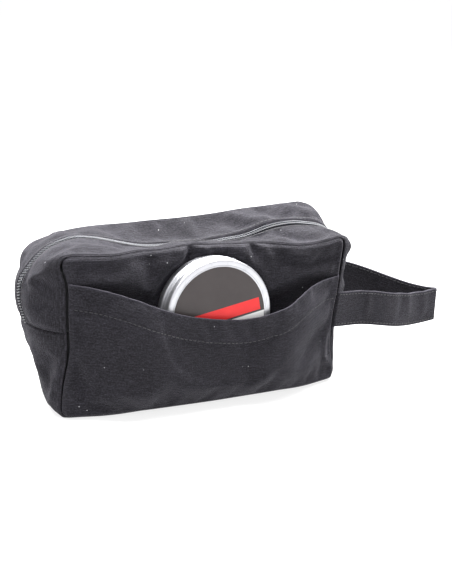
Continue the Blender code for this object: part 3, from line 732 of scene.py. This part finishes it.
def printed_disc(name):
    """Plain printed label: a warm dark disc, one plain red band and a plain white part below it."""
    made = Finish(name, Specular_IOR_Level=0.30)
    x, z, radius = tin_place(made)
    tilt = math.radians(10.5)
    up = z * math.cos(tilt) - x * math.sin(tilt)
    along = x * math.cos(tilt) + z * math.sin(tilt)
    paper = made.noise(made.place("Object"), 1500.0, 3.0)
    ink = made.noise(made.place("Object"), 90.0, 3.0)
    dark = made.mix(ink, (0.040, 0.033, 0.033, 1), (0.054, 0.046, 0.046, 1))
    red = made.mix(ink, (0.60, 0.020, 0.022, 1), (0.68, 0.030, 0.030, 1))
    white = made.mix(ink, (0.74, 0.74, 0.74, 1), (0.80, 0.80, 0.80, 1))
    below = up.above(-0.0043, -0.0041)
    colour = made.mix(below, white, dark)
    band = up.above(-0.0029, -0.0027) * (1.0 - up.above(0.0059, 0.0061)) * (1.0 - along.above(0.0318, 0.0320))
    colour = made.mix(band, colour, red)
    made.feed("Base Color", colour)
    made.feed("Roughness", 0.36 + paper * 0.16)
    made.bump(paper, 0.00004, 0.5)
    return made.material


def plain_solid(name, low, high, rough, grain):
    made = Finish(name)
    cloud = made.noise(made.place("Object"), grain, 4.0)
    made.feed("Base Color", made.mix(cloud, (*low, 1), (*high, 1)))
    made.feed("Roughness", rough + cloud * 0.15)
    made.bump(cloud, 0.0001, 0.5)
    return made.material


# ---------------------------------------------------------------- repeated small shapes
def small_box(size, bevel):
    bm = bmesh.new()
    bmesh.ops.create_cube(bm, size=1.0)
    bmesh.ops.scale(bm, vec=size, verts=bm.verts)
    bmesh.ops.bevel(bm, geom=bm.edges[:], offset=bevel, affect="EDGES", segments=1, profile=0.5, material=-1)
    return mesh_of(bm, "small_box")


def small_bead(size):
    bm = bmesh.new()
    bmesh.ops.create_uvsphere(bm, u_segments=6, v_segments=4, radius=0.5)
    bmesh.ops.rotate(bm, matrix=Matrix.Rotation(math.pi / 2, 3, "Y"), verts=bm.verts)
    bmesh.ops.scale(bm, vec=size, verts=bm.verts)
    return mesh_of(bm, "small_bead")


def repeated(name, shape, places, finish):
    """One object holding a copy of a small shape at each place."""
    bm = bmesh.new()
    for place in places:
        start = len(bm.verts)
        bm.from_mesh(shape)
        bm.verts.ensure_lookup_table()
        bmesh.ops.transform(bm, matrix=place, verts=bm.verts[start:])
    mesh = mesh_of(bm, name)
    mesh.materials.append(finish)
    mesh.shade_smooth()
    return linked(name, mesh)


def standing(point, along, out):
    side = out.cross(along).normalized()
    out = along.cross(side).normalized()
    return placed(along, side, out, point)


def stitches(name, runs, finish, seed):
    """Rows of thread: each run is a list of (point, outward) pairs, walked at an even pace."""
    chance = random.Random(seed)
    shape = small_bead((STITCH_LENGTH, STITCH_RADIUS * 2.4, STITCH_RADIUS * 2))
    places = []
    pitch = STITCH_LENGTH + STITCH_GAP
    for run in runs:
        lengths = [0.0]
        for (a, _), (b, _) in zip(run[:-1], run[1:]):
            lengths.append(lengths[-1] + (b - a).length)
        for number in range(int(lengths[-1] / pitch)):
            where = (number + 0.5) * pitch
            k = max(0, min(len(run) - 2, int(np.searchsorted(lengths, where)) - 1))
            share = (where - lengths[k]) / max(1e-9, lengths[k + 1] - lengths[k])
            point = run[k][0].lerp(run[k + 1][0], share)
            along = (run[k + 1][0] - run[k][0]).normalized()
            out = run[k][1].lerp(run[k + 1][1], share).normalized()
            turn = Matrix.Rotation(math.radians(chance.uniform(-5, 5)), 4, "Z")
            places.append(standing(point + out * STITCH_RADIUS * 0.25, along, out) @ turn)
    return repeated(name, shape, places, finish)


def run_on(cloth, pairs):
    made = []
    for u, w in pairs:
        point, _, out = cloth.at(u, w)
        made.append((point, out))
    return made


# ---------------------------------------------------------------- finishes
FRONT_CANVAS = canvas("black_canvas_front", 0.3)
POCKET_CANVAS = canvas("black_canvas_pocket", 1.7)
TOP_CANVAS = canvas("black_canvas_top", 4.1)
BASE_CANVAS = canvas("black_canvas_base", 6.4)
BACK_CANVAS = canvas("black_canvas_back", 8.2)
STRAP_CANVAS = canvas("black_canvas_strap", 9.9)
TAPE_WEAVE = woven_tape("black_woven_tape")
THREAD = thread("black_thread", (0.022, 0.021, 0.025))
COIL_NYLON = nylon("grey_nylon_coil")
GUNMETAL = plated("gunmetal_plate")
TIN_METAL = aluminium("satin_aluminium")
LABEL_PRINT = printed_disc("plain_printed_label")
SOAP = plain_solid("set_soap", (0.66, 0.60, 0.47), (0.78, 0.73, 0.61), 0.35, 60.0)
FOAM = plain_solid("foam_liner", (0.78, 0.78, 0.77), (0.88, 0.88, 0.87), 0.75, 800.0)


# ---------------------------------------------------------------- the bag's cloth
def make_front_panel():
    size = (2 * (HALF_WIDTH - ROLL), PANEL_HEIGHT - 2 * ROLL)

    def face(u, w):
        z = ROLL + size[1] * w
        half = panel_half(z)
        x = (2 * u - 1) * half
        edge = min(z - ROLL, PANEL_HEIGHT - ROLL - z, half - abs(x))
        return settle(x, -HALF_DEPTH + roll(edge), z)

    cloth = Cloth("front_panel_canvas", face, size)
    cloth.outward = Vector((0, -1, 0))
    p = cloth.points
    above = np.array([smooth((z - line_through(MOUTH_LINE, x) + 0.004) / 0.012) for x, _, z in p])
    u, w = edge_distance(cloth)
    free = above * np.clip(np.minimum(u, w) / 0.008, 0, 1)
    pinch = folded(p, [0, 2],
                   (((-19, 119), (-21, 108), (-26, 98)), 3.4, 2.6),
                   (((-12, 122), (-13, 110), (-17, 100)), 2.6, -4.4),
                   (((-3, 118), (-2, 110), (0, 103)), 3.4, 1.8),
                   (((29, 117), (27, 108), (25, 101)), 3.4, 1.8),
                   (((37, 120), (36, 109), (39, 100)), 2.6, -4.0),
                   (((45, 115), (46, 106), (52, 98)), 3.4, 2.0))
    cloth.raise_by(pinch * above * np.clip(np.minimum(u, w) / 0.0025, 0, 1), (0, -1, 0))
    folds = folded(p, [0, 2],
                   (((60, 104), (80, 101), (106, 106)), 5.0, 2.4),
                   (((50, 97), (75, 94), (104, 97)), 5.0, -2.2),
                   (((72, 86), (88, 90), (106, 92)), 3.4, 1.8),
                   (((-60, 104), (-80, 100), (-104, 104)), 7.0, -1.6),
                   (((-45, 98), (-70, 95), (-100, 98)), 6.0, 1.4),
                   (((-36, 92), (-44, 99), (-42, 110)), 5.0, -0.9))
    gap = np.hypot(p[:, 0] - TIN_X, p[:, 2] - TIN_Z) - TIN_RADIUS
    hug = np.clip(gap / 0.004, 0, 1) * np.clip(1.3 - gap / 0.030, 0, 1)
    cloth.raise_by((folds + 0.0034 * hug * above) * free, (0, -1, 0))
    obj = cloth.sheet()
    sewn = np.where(np.minimum(u, w) < SEWN_EDGE, 1.0, 0.0)
    cap = 0.0002 + 0.0020 * above
    relax(cloth, obj, sewn, 0.035, 0.15, cap)
    finish_cloth(cloth, obj, FRONT_CANVAS)
    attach(obj, "bag")
    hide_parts("front_panel")


def make_pocket():
    width = 2 * (HALF_WIDTH - ROLL)
    size = (width, 0.080)

    def face(u, w):
        a = 2 * u - 1
        mouth = line_through(MOUTH_LINE, a * HALF_WIDTH)
        z = ROLL + (mouth - ROLL) * w
        half = panel_half(z)
        x = a * half
        edge = min(z - ROLL, half - abs(x))
        point = settle(x, -HALF_DEPTH, z)
        lean = max(0.0, TIN_Z - z) * math.tan(TIN_LEAN)
        room = TIN_DEPTH - TIN_PRESS + LID_TRAVEL + POCKET_SLACK + lean
        flank = smooth((HALF_WIDTH - abs(x)) / POCKET_FLANK)
        stand = room * flank * smooth(z / POCKET_BASE_RISE) + tin_press(x, z) * flank
        hem = smooth((z - (mouth - HEM_WIDTH)) / 0.0012)
        rounded = smooth(edge / ROLL_WIDTH)
        point.y -= stand + (SKIN + GAP + hem * HEM_RAISE) * rounded - ROLL * 0.7 * (1 - rounded)
        return point

    def seam_plane(points):
        flat = points.copy()
        flat[:, 1] = np.maximum(flat[:, 1], -HALF_DEPTH)
        return flat

    cloth = Cloth("front_pocket_canvas", face, size, field=seam_plane)
    cloth.outward = Vector((0, -1, 0))
    p = cloth.points
    u, w = edge_distance(cloth)
    from_base = np.repeat(cloth.ws * size[1], len(cloth.us))
    free = np.clip(np.minimum(u, from_base) / 0.008, 0, 1)
    folds = folded(p, [0, 2],
                   (((-100, 52), (-93, 40), (-86, 24)), 4.0, 2.2),
                   (((-103, 42), (-98, 26), (-94, 12)), 4.5, -1.8),
                   (((102, 62), (78, 52), (56, 42), (34, 24), (22, 12)), 6.5, 2.6),
                   (((92, 46), (74, 34), (58, 16)), 6.0, -1.8),
                   (((104, 50), (96, 38), (93, 30), (96, 20), (103, 14)), 3.2, 3.2),
                   (((104, 38), (102, 30), (103, 22)), 3.4, -2.4),
                   (((98, 74), (80, 66), (60, 56)), 4.5, 1.6),
                   (((-70, 70), (-40, 52), (-20, 30)), 9.0, 1.2),
                   (((-60, 30), (-30, 14), (10, 8)), 9.0, -1.4))
    cloth.raise_by(folds * free, (0, -1, 0))
    obj = cloth.sheet()
    mouth = np.repeat((1 - cloth.ws) * size[1], len(cloth.us))
    sewn = np.where(np.minimum(u, from_base) < SEWN_EDGE, 1.0, np.where(mouth < 0.002, 0.6, 0.0))
    tin_gap = np.hypot(p[:, 0] - TIN_X, p[:, 2] - TIN_Z)
    cap = np.where(tin_gap < TIN_RADIUS + 0.004, 0.0007, 0.0030)
    relax(cloth, obj, sewn, 0.035, 0.25, cap)
    # The colour is made lighter along the pocket's mouth and, less, along its hem line.
    cloth.edge_lightening = np.clip(1 - mouth / 0.0016, 0, 1) * 0.9
    cloth.edge_lightening += np.clip(1 - abs(mouth - HEM_WIDTH) / 0.0016, 0, 1) * 0.35
    finish_cloth(cloth, obj, POCKET_CANVAS)
    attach(obj, "bag")
    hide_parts("front_pocket")
    pairs = []
    for u in np.linspace(0.01, 0.99, 90):
        high = line_through(MOUTH_LINE, (2 * u - 1) * HALF_WIDTH) - ROLL
        pairs.append((u, 1 - (HEM_WIDTH - 0.001) / high))
    seam = stitches("pocket_hem_thread", [run_on(cloth, pairs)], THREAD, 11)
    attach(seam, "bag")


def make_zip_gusset(side):
    """Canvas beside the zip: side -1 is in front of it, +1 behind it."""
    seam = HALF_DEPTH - ROLL
    slit = ZIP_OPENING / 2 - (FRONT_SLIT_LAP if side < 0 else BACK_SLIT_LAP)
    size = (ZIP_STRIP_LENGTH, seam - slit)

    def face(u, w):
        y = side * (slit + (seam - slit) * w)
        end = min(u, 1 - u) * size[0]
        from_slit = w * size[1]
        ridge = 0.0007 * math.exp(-((from_slit - 0.0022) / 0.0016) ** 2)
        turned_in = 0.0012 * (1 - smooth(from_slit / 0.0012)) - ridge
        return upper_loop(u, y, max(roll((1 - w) * size[1]), roll(end)) + turned_in)

    name = "zip_gusset_front_canvas" if side < 0 else "zip_gusset_back_canvas"
    cloth = Cloth(name, face, size)
    p = cloth.points
    u, w = edge_distance(cloth)
    free = np.clip(np.minimum(u, w) / 0.007, 0, 1)
    top = np.clip((p[:, 2] - 0.095) / 0.010, 0, 1)
    if side < 0:
        folds = folded(p, [0, 1],
                       (((-16, -33), (0, -22), (22, -16)), 5.0, 2.4),
                       (((30, -14), (48, -22), (70, -30)), 6.0, 2.0),
                       (((-8, -30), (8, -30), (24, -30)), 4.0, -1.2),
                       (((60, -10), (80, -22), (104, -28)), 5.0, -1.8),
                       (((-50, -12), (-75, -18), (-100, -14)), 7.0, -1.4),
                       (((-104, -33), (-90, -22), (-60, -20)), 5.0, 1.4))
        cloth.raise_by(folds * free * top, (0, 0, 1))
        lap = np.exp(-((p[:, 0] + 0.002) / 0.021) ** 4) * np.clip(1 + (p[:, 1] + 0.004) / 0.016, 0, 1)
        cloth.raise_by(0.0046 * lap * top, (0, 0.75, 0.60))
        ends = np.clip((np.abs(p[:, 0]) - 0.106) / 0.004, 0, 1)
        left = (p[:, 0] < 0) * ends
        folds = folded(p, [1, 2],
                       (((-34, 108), (-22, 98), (-12, 90)), 3.6, 2.4),
                       (((-32, 96), (-24, 84), (-20, 72)), 5.0, -2.2),
                       (((-33, 78), (-24, 70), (-12, 66)), 4.0, 1.6))
        cloth.raise_by(folds * free * left, (-1, 0, 0))
        cloth.raise_by(folds * free * (p[:, 0] > 0) * ends * 0.8, (1, 0, 0))
    else:
        folds = folded(p, [0, 1],
                       (((110, 8), (96, 20), (84, 32)), 6.0, 2.6),
                       (((92, 8), (78, 18), (66, 32)), 7.0, -2.4),
                       (((40, 30), (55, 16), (74, 7)), 6.0, 1.6),
                       (((-40, 10), (-20, 18), (10, 12)), 9.0, -2.0),
                       (((-100, 8), (-90, 20), (-96, 33)), 6.0, 1.8))
        cloth.raise_by(folds * free * top, (0, 0, 1))
    obj = cloth.sheet()
    sewn = np.where(np.minimum(u, w) < SEWN_EDGE, 1.0, 0.0)
    by_slider = (p[:, 0] > 0.100) & (np.abs(p[:, 1]) < 0.012)
    clear = np.where(by_slider, 0.0008, np.where(p[:, 0] < -0.1, 0.0018, 0.0026))
    relax(cloth, obj, sewn, 0.045, 0.2, clear)
    from_zip = np.repeat(cloth.ws * size[1], len(cloth.us))
    # The colour is made a little lighter beside the zip.
    cloth.edge_lightening = np.clip(1 - from_zip / 0.0012, 0, 1) * 0.25
    finish_cloth(cloth, obj, TOP_CANVAS)
    rows = [run_on(cloth, [(u, ZIP_STITCH / size[1]) for u in np.linspace(0.006, 0.994, 240)])]
    seam = stitches(name.replace("canvas", "thread"), rows, THREAD, 21 + side)
    if side < 0:
        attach(obj, "bag")
        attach(seam, "bag")
        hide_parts("zip_gusset_front")
    else:
        open_back(obj)
        open_back(seam)
        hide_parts("zip_gusset_back")


def make_base_gusset():
    seam = HALF_DEPTH - ROLL
    size = (BASE_STRIP_LENGTH, 2 * seam)

    def face(u, w):
        y = seam * (2 * w - 1)
        end = min(u, 1 - u) * size[0]
        return lower_loop(u, y, max(roll(seam - abs(y)), roll(end)))

    cloth = Cloth("base_gusset_canvas", face, size)
    p = cloth.points
    u, w = edge_distance(cloth)
    free = np.clip(np.minimum(u, w) / 0.007, 0, 1)
    left = (p[:, 0] < -0.096) * 1.0
    right = (p[:, 0] > 0.096) * 1.0
    folds = folded(p, [1, 2],
                   (((-34, 38), (-30, 24), (-27, 8)), 3.4, 2.2),
                   (((-26, 46), (-20, 32), (-20, 14)), 4.5, -2.8),
                   (((-10, 50), (-8, 34), (-14, 20)), 4.0, 1.8),
                   (((6, 44), (10, 28), (20, 14)), 5.0, -3.0),
                   (((22, 50), (26, 34), (30, 18)), 5.0, 2.0))
    cloth.raise_by(folds * free * left, (-1, 0, 0))
    cloth.raise_by(folds * free * right * 0.8, (1, 0, 0))
    obj = cloth.sheet()
    sewn = np.where(np.minimum(u, w) < SEWN_EDGE, 1.0, 0.0)
    cap = np.where(p[:, 2] < 0.003, 0.0005, 0.0020)
    relax(cloth, obj, sewn, 0.04, 0.1, cap)
    cloth.points[:, 2] = np.maximum(cloth.points[:, 2], 0.0)
    finish_cloth(cloth, obj, BASE_CANVAS)
    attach(obj, "bag")
    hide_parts("base_gusset")


def make_back_panel():
    size = (2 * (HALF_WIDTH - ROLL), PANEL_HEIGHT - 2 * ROLL)

    def face(u, w):
        z = ROLL + size[1] * w
        half = panel_half(z)
        a = 1 - 2 * u
        x = a * half
        c = z / PANEL_HEIGHT
        edge = min(z - ROLL, PANEL_HEIGHT - ROLL - z, half - abs(x))
        point = settle(x, HALF_DEPTH - roll(edge), z)
        point.y += BACK_BULGE * (1 - a * a) * 4 * c * (1 - c)
        return point

    cloth = Cloth("back_panel_canvas", face, size)
    cloth.outward = Vector((0, 1, 0))
    p = cloth.points
    u, w = edge_distance(cloth)
    free = np.clip(np.minimum(u, w) / 0.008, 0, 1)
    folds = folded(p, [0, 2],
                   (((100, 104), (70, 86), (40, 76)), 8.0, 2.2),
                   (((104, 84), (74, 66), (40, 60)), 8.0, -2.0),
                   (((-98, 20), (-70, 34), (-40, 38)), 7.0, 2.2),
                   (((-102, 36), (-74, 50), (-30, 52)), 8.0, -1.8),
                   (((-90, 98), (-60, 90), (-10, 92)), 9.0, 1.6),
                   (((90, 14), (60, 24), (10, 22)), 9.0, -1.8))
    cloth.raise_by(folds * free, (0, 1, 0))
    obj = cloth.sheet()
    sewn = np.where(np.minimum(u, w) < SEWN_EDGE, 1.0, 0.0)
    relax(cloth, obj, sewn, 0.035, 0.2, 0.0025)
    finish_cloth(cloth, obj, BACK_CANVAS)
    open_back(obj)
    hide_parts("back_panel_lower", "back_panel_upper")


# ---------------------------------------------------------------- tapes, bindings and coil
def inner_band(name, loop, low, high, depth, thickness, node, blends, length):
    """A narrow woven band inside the cloth, between two distances from the zip."""
    size = (length, abs(high - low))

    def face(u, w):
        y = low + (high - low) * w
        return loop(u, y, depth + BAND_DROP * smooth((abs(y) - 0.0042) / 0.003))

    cloth = Cloth(name, face, size, step=0.0024, fine=(False, False))
    obj = cloth.sheet()
    finish_cloth(cloth, obj, TAPE_WEAVE, thickness, 0)
    open_back(obj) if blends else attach(obj, "bag")
    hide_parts(node)


def make_bands():
    under = SKIN + GAP
    seam = HALF_DEPTH - 0.0028
    inner = seam - 0.0102
    near, far = 0.0010, 0.0130
    for side, end, blends in ((-1, "front", False), (1, "back", True)):
        inner_band("zip_tape_%s_weave" % end, upper_loop, side * near, side * far, under, 0.0007,
                   "zip_tape_" + end, blends, ZIP_STRIP_LENGTH)
    for name, loop, side, node, blends, length in (
            ("back_upper", upper_loop, 1, "seam_binding_back_upper", True, 0.345),
            ("back_lower", lower_loop, 1, "seam_binding_back_lower", False, 0.330),
            ("front_upper", upper_loop, -1, "seam_binding_front", False, 0.345),
            ("front_lower", lower_loop, -1, "seam_binding_front", False, 0.330)):
        inner_band("binding_%s_weave" % name, loop, side * inner, side * seam, under + 0.001, 0.0010,
                   node, blends, length)


def zip_run(y, depth, count):
    """Evenly spaced points along the zip, with their direction and outward normal."""
    marks = np.linspace(0.002, 0.998, 900)
    raw = np.array([upper_loop(t, y, depth) for t in marks])
    line = raw + sag(raw)
    inner = np.array([upper_loop(t, y, depth + 0.001) for t in marks])
    inner = inner + sag(inner)
    lengths = np.concatenate([[0], np.cumsum(np.linalg.norm(np.diff(line, axis=0), axis=1))])
    wanted = np.linspace(0, lengths[-1], count)
    made = []
    for where in wanted:
        point = np.array([np.interp(where, lengths, line[:, k]) for k in range(3)])
        ahead = np.array([np.interp(where + 0.001, lengths, line[:, k]) for k in range(3)])
        behind = np.array([np.interp(where - 0.001, lengths, line[:, k]) for k in range(3)])
        below = np.array([np.interp(where, lengths, inner[:, k]) for k in range(3)])
        made.append((Vector(point), Vector(ahead - behind).normalized(), Vector(point - below).normalized()))
    return made, lengths[-1]


def make_coil():
    _, length = zip_run(0.0, 0.0009, 10)
    count = int(length / TOOTH_PITCH)
    tooth = small_box((0.00105, 0.0027, 0.0014), 0.00030)
    for side, node, name in ((-1, "zip_coil_front", "zip_coil_front_teeth"),
                             (1, "zip_coil_back", "zip_coil_back_teeth")):
        run, _ = zip_run(side * 0.00135, 0.0001, count)
        places = []
        for point, along, out in run:
            slant = Matrix.Rotation(math.radians(24), 4, "Z")
            places.append(standing(point + along * (side * 0.0006), along, out) @ slant)
        obj = repeated(name, tooth, places, COIL_NYLON)
        open_back(obj) if side > 0 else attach(obj, "bag")
        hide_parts(node)


# ---------------------------------------------------------------- wrist strap
def strap_point(s, across):
    """Middle surface of the strap: s runs 0 to 1 from the front seam round the fold to the back seam."""
    start = HALF_WIDTH - 0.002
    leg = FOLD_X - start
    bend = math.pi * STRAP_FOLD_RADIUS
    total = 2 * leg + bend
    run = s * total
    slack = (0.25 + 0.75 * math.sin(math.pi * s) ** 2)

    def leg_at(side, x):
        start_y = side * (HALF_DEPTH - STRAP_THICKNESS / 2)
        fold_y = STRAP_FOLD_OFFSET + side * STRAP_FOLD_RADIUS
        share = (x - HALF_WIDTH) / (FOLD_X - HALF_WIDTH)
        y = start_y + (fold_y - start_y) * share
        y += side * 0.0022 * math.sin(math.pi * share) - side * 0.0012 * math.sin(3 * math.pi * share)
        drop = smooth((x - PIVOT_X) / (FOLD_X - PIVOT_X))
        z = STRAP_ROOT_HEIGHT - STRAP_DROOP * drop - STRAP_DROP
        share = max(0.0, share)
        if side > 0:
            z += 0.0085 * (1 - smooth(share * 1.15)) + 0.0034 * math.sin(math.pi * share ** 1.5)
        else:
            z -= 0.0038 * math.sin(math.pi * min(1.0, share * 1.02) ** 0.8)
        return x, y, z

    if run <= leg:
        x, y, z = leg_at(-1, start + run)
    elif run >= leg + bend:
        x, y, z = leg_at(1, start + (total - run))
    else:
        angle = math.pi * ((run - leg) / bend - 0.5)
        x = FOLD_X + STRAP_FOLD_RADIUS * math.cos(angle)
        y = STRAP_FOLD_OFFSET + STRAP_FOLD_RADIUS * math.sin(angle)
        z = STRAP_ROOT_HEIGHT - STRAP_DROOP - STRAP_DROP
    lean = 0.0012 * math.sin(5.0 * s + 0.6) * slack
    wave = 0.0009 * math.sin(19.0 * s) * slack
    return Vector((x, y + lean * across / 0.0135 + wave, z + across))


def make_strap():
    length = 2 * (FOLD_X - HALF_WIDTH + 0.002) + math.pi * STRAP_FOLD_RADIUS
    size = (length, STRAP_WIDTH)

    def face(u, w):
        return strap_point(u, (w - 0.5) * STRAP_WIDTH)

    cloth = Cloth("wrist_strap_canvas", face, size, step=0.0022, fine=(False, True))
    p = cloth.points
    u, w = edge_distance(cloth)
    body = p[:, 0] > 0.115
    folds = folded(p, [0, 2],
                   (((140, 66), (141, 54), (139, 44)), 3.0, 1.0),
                   (((176, 62), (178, 50), (175, 36)), 4.0, -1.1),
                   (((186, 58), (188, 48), (187, 34)), 3.0, 0.9),
                   (((206, 56), (209, 44), (206, 30)), 3.5, 1.0))
    cloth.raise_by(folds * body, (0, -1, 0))
    obj = cloth.sheet()
    # The colour is made lighter along the strap's edges.
    cloth.edge_lightening = np.clip(1 - w / 0.0012, 0, 1) * 0.9
    thick = STRAP_THICKNESS * 0.8
    finish_cloth(cloth, obj, STRAP_CANVAS, thick)
    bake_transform(obj)
    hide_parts("handle_root_front", "handle_root_back", "handle_loop")
    runs = []
    for place in (0.0021, STRAP_WIDTH - 0.0021):
        run = run_on(cloth, [(u, place / STRAP_WIDTH) for u in np.linspace(0.004, 0.996, 220)])
        runs.append(run)
        runs.append([(point - out * (thick + STITCH_RADIUS * 0.2), -out) for point, out in run])
    seam = stitches("wrist_strap_thread", runs, THREAD, 31)
    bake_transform(seam)


# ---------------------------------------------------------------- tin
def turned(name, profile, finish, body, nodes, steps=144):
    """A turned piece on the tin's axis: a closed profile of (radius, height above the tin's back)."""
    normal = Vector((0.0, -math.cos(TIN_LEAN), math.sin(TIN_LEAN)))
    back = Vector((TIN_X, -HALF_DEPTH + TIN_PRESS, TIN_Z))
    side = Vector((1, 0, 0))
    place = placed(side, normal.cross(side), normal, back)
    bm = bmesh.new()
    verts = [bm.verts.new((radius, 0.0, height)) for radius, height in profile]
    edges = [bm.edges.new(pair) for pair in zip(verts[:-1], verts[1:])]
    bmesh.ops.spin(bm, geom=verts + edges, cent=(0, 0, 0), axis=(0, 0, 1), angle=2 * math.pi, steps=steps,
                   use_merge=True)
    bmesh.ops.remove_doubles(bm, verts=bm.verts, dist=1e-6)
    bmesh.ops.recalc_face_normals(bm, faces=bm.faces)
    if bm.calc_volume(signed=True) < 0:
        bmesh.ops.reverse_faces(bm, faces=bm.faces)
    bmesh.ops.transform(bm, matrix=place, verts=bm.verts)
    mesh = mesh_of(bm, name)
    mesh.materials.append(finish)
    mesh.shade_smooth()
    mesh.set_sharp_from_angle(angle=math.radians(32))
    obj = linked(name, mesh)
    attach(obj, body)
    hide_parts(*nodes)


def arc(cx, cz, radius, start, end, count):
    turns = [math.radians(start + (end - start) * i / count) for i in range(count + 1)]
    return [(cx + radius * math.cos(turn), cz + radius * math.sin(turn)) for turn in turns]


def make_tin():
    wall = 0.0009
    r = TIN_RADIUS - SHOWN_TIN_INSET
    low = TIN_DEPTH - LID_SKIRT
    outer = [(r - 0.0004, low)]
    outer += arc(r - 0.0005, low + 0.0006, 0.0006, -60, 90, 6)
    for ring in range(3):
        middle = low + 0.0021 + ring * 0.0014
        outer += [(r - 0.00045, middle - 0.0006)] + arc(r - 0.00062, middle, 0.0004, -60, 60, 5)
    outer += [(r - 0.00045, low + 0.0062), (r - 0.0001, low + 0.0070)]
    outer += arc(r - 0.0013, TIN_DEPTH - 0.0013, 0.0013, 0, 90, 8)
    bed = TIN_DEPTH - 0.0005
    outer += [(LABEL_RADIUS + 0.0034, TIN_DEPTH + 0.00005)]
    outer += arc(LABEL_RADIUS + 0.0016, TIN_DEPTH - 0.0004, 0.0004, 70, 160, 3)
    outer += [(LABEL_RADIUS + 0.0009, bed), (0.0, bed)]
    inner = [(0.0, TIN_DEPTH - 0.0012), (r - wall - 0.0004, TIN_DEPTH - 0.0012), (r - wall - 0.0003, low)]
    turned("tin_lid_metal", inner + outer, TIN_METAL, "lid", ["tin_lid"])
    top = bed + 0.00042
    label = [(0.0, bed + 0.0001), (LABEL_RADIUS, bed + 0.0001), (LABEL_RADIUS, top - 0.0001),
             (LABEL_RADIUS - 0.0001, top), (0.0, top)]
    turned("tin_label_disc", label, LABEL_PRINT, "lid", ["lid_label"])
    neck = r - wall - 0.0005
    shelf = low - 0.0004
    side = r - 0.0008
    base = [(0.0, 0.0)] + arc(side - 0.0014, 0.0014, 0.0014, -90, 0, 6)
    base += [(side, shelf - 0.0016)] + arc(side - 0.0003, shelf - 0.0008, 0.0008, -50, 60, 5)
    base += [(neck, shelf), (neck, 0.0172), (neck - wall, 0.0172), (neck - wall, wall), (0.0, wall)]
    turned("tin_base_metal", base, TIN_METAL, "tin", ["tin_base"])


def dress_cad_nodes():
    for node, finish in (("tin_fill", SOAP), ("lid_liner", FOAM), ("slider_body", GUNMETAL),
                         ("pull_link", GUNMETAL), ("pull_tab", GUNMETAL)):
        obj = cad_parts[node]
        obj.data.materials.clear()
        obj.data.materials.append(finish)


# ---------------------------------------------------------------- studio
def make_studio():
    scene = bpy.context.scene
    scene.view_settings.view_transform = "Standard"
    bm = bmesh.new()
    bmesh.ops.create_grid(bm, x_segments=1, y_segments=1, size=30.0)
    mesh = mesh_of(bm, "studio_floor")
    floor = linked("studio_floor", mesh)
    floor.location = (0, 0, -0.0004)
    paper = Finish("white_paper", Roughness=0.9, Specular_IOR_Level=0.0,
                   Emission_Color=(1.0, 1.0, 1.0, 1.0), Emission_Strength=0.80)
    grain = paper.noise(paper.place("Object"), 40.0, 2.0)
    paper.feed("Base Color", paper.mix(grain, (0.25, 0.25, 0.25, 1), (0.26, 0.26, 0.26, 1)))
    mesh.materials.append(paper.material)
    world = bpy.data.worlds.new("studio")
    scene.world = world
    world.use_nodes = True
    world.node_tree.nodes["Background"].inputs[0].default_value = (1.0, 1.0, 1.0, 1.0)
    world.node_tree.nodes["Background"].inputs[1].default_value = 0.80
    for name, place, size, power in (("overhead", (0.20, 0.50, 1.45), 2.0, 215.0),
                                     ("front_left", (-1.2, -0.9, 1.3), 1.0, 5.0)):
        lamp = bpy.data.lights.new(name, "AREA")
        lamp.shape = "SQUARE"
        lamp.size = size
        lamp.energy = power
        obj = linked(name, lamp)
        obj.location = place
        aim = Vector((0, 0, 0.05)) - Vector(place)
        obj.rotation_euler = aim.to_track_quat("-Z", "Y").to_euler()


def make_camera():
    scene = bpy.context.scene
    turn, rise, roll_angle = math.radians(27.0), math.radians(17.05), math.radians(2.54)
    back = Vector((-math.sin(turn) * math.cos(rise), -math.cos(turn) * math.cos(rise), math.sin(rise)))
    level = (-back).cross(Vector((0, 0, 1))).normalized()
    head = level.cross(-back).normalized()
    right = level * math.cos(roll_angle) + head * math.sin(roll_angle)
    up = head * math.cos(roll_angle) - level * math.sin(roll_angle)
    lens = bpy.data.cameras.new("view")
    lens.sensor_fit = "VERTICAL"
    lens.sensor_height = 36.0
    lens.lens = 67.8
    lens.clip_start = 0.05
    camera = linked("view", lens)
    place = Vector((0, 0, 0.060)) + back * 0.811 + right * 0.0282 + up * 0.0094
    camera.matrix_world = placed(right, up, back, place)
    scene.camera = camera


make_studio()
make_camera()
make_front_panel()
make_pocket()
make_zip_gusset(-1)
make_zip_gusset(1)
make_base_gusset()
make_back_panel()
make_bands()
make_coil()
make_strap()
make_tin()
dress_cad_nodes()
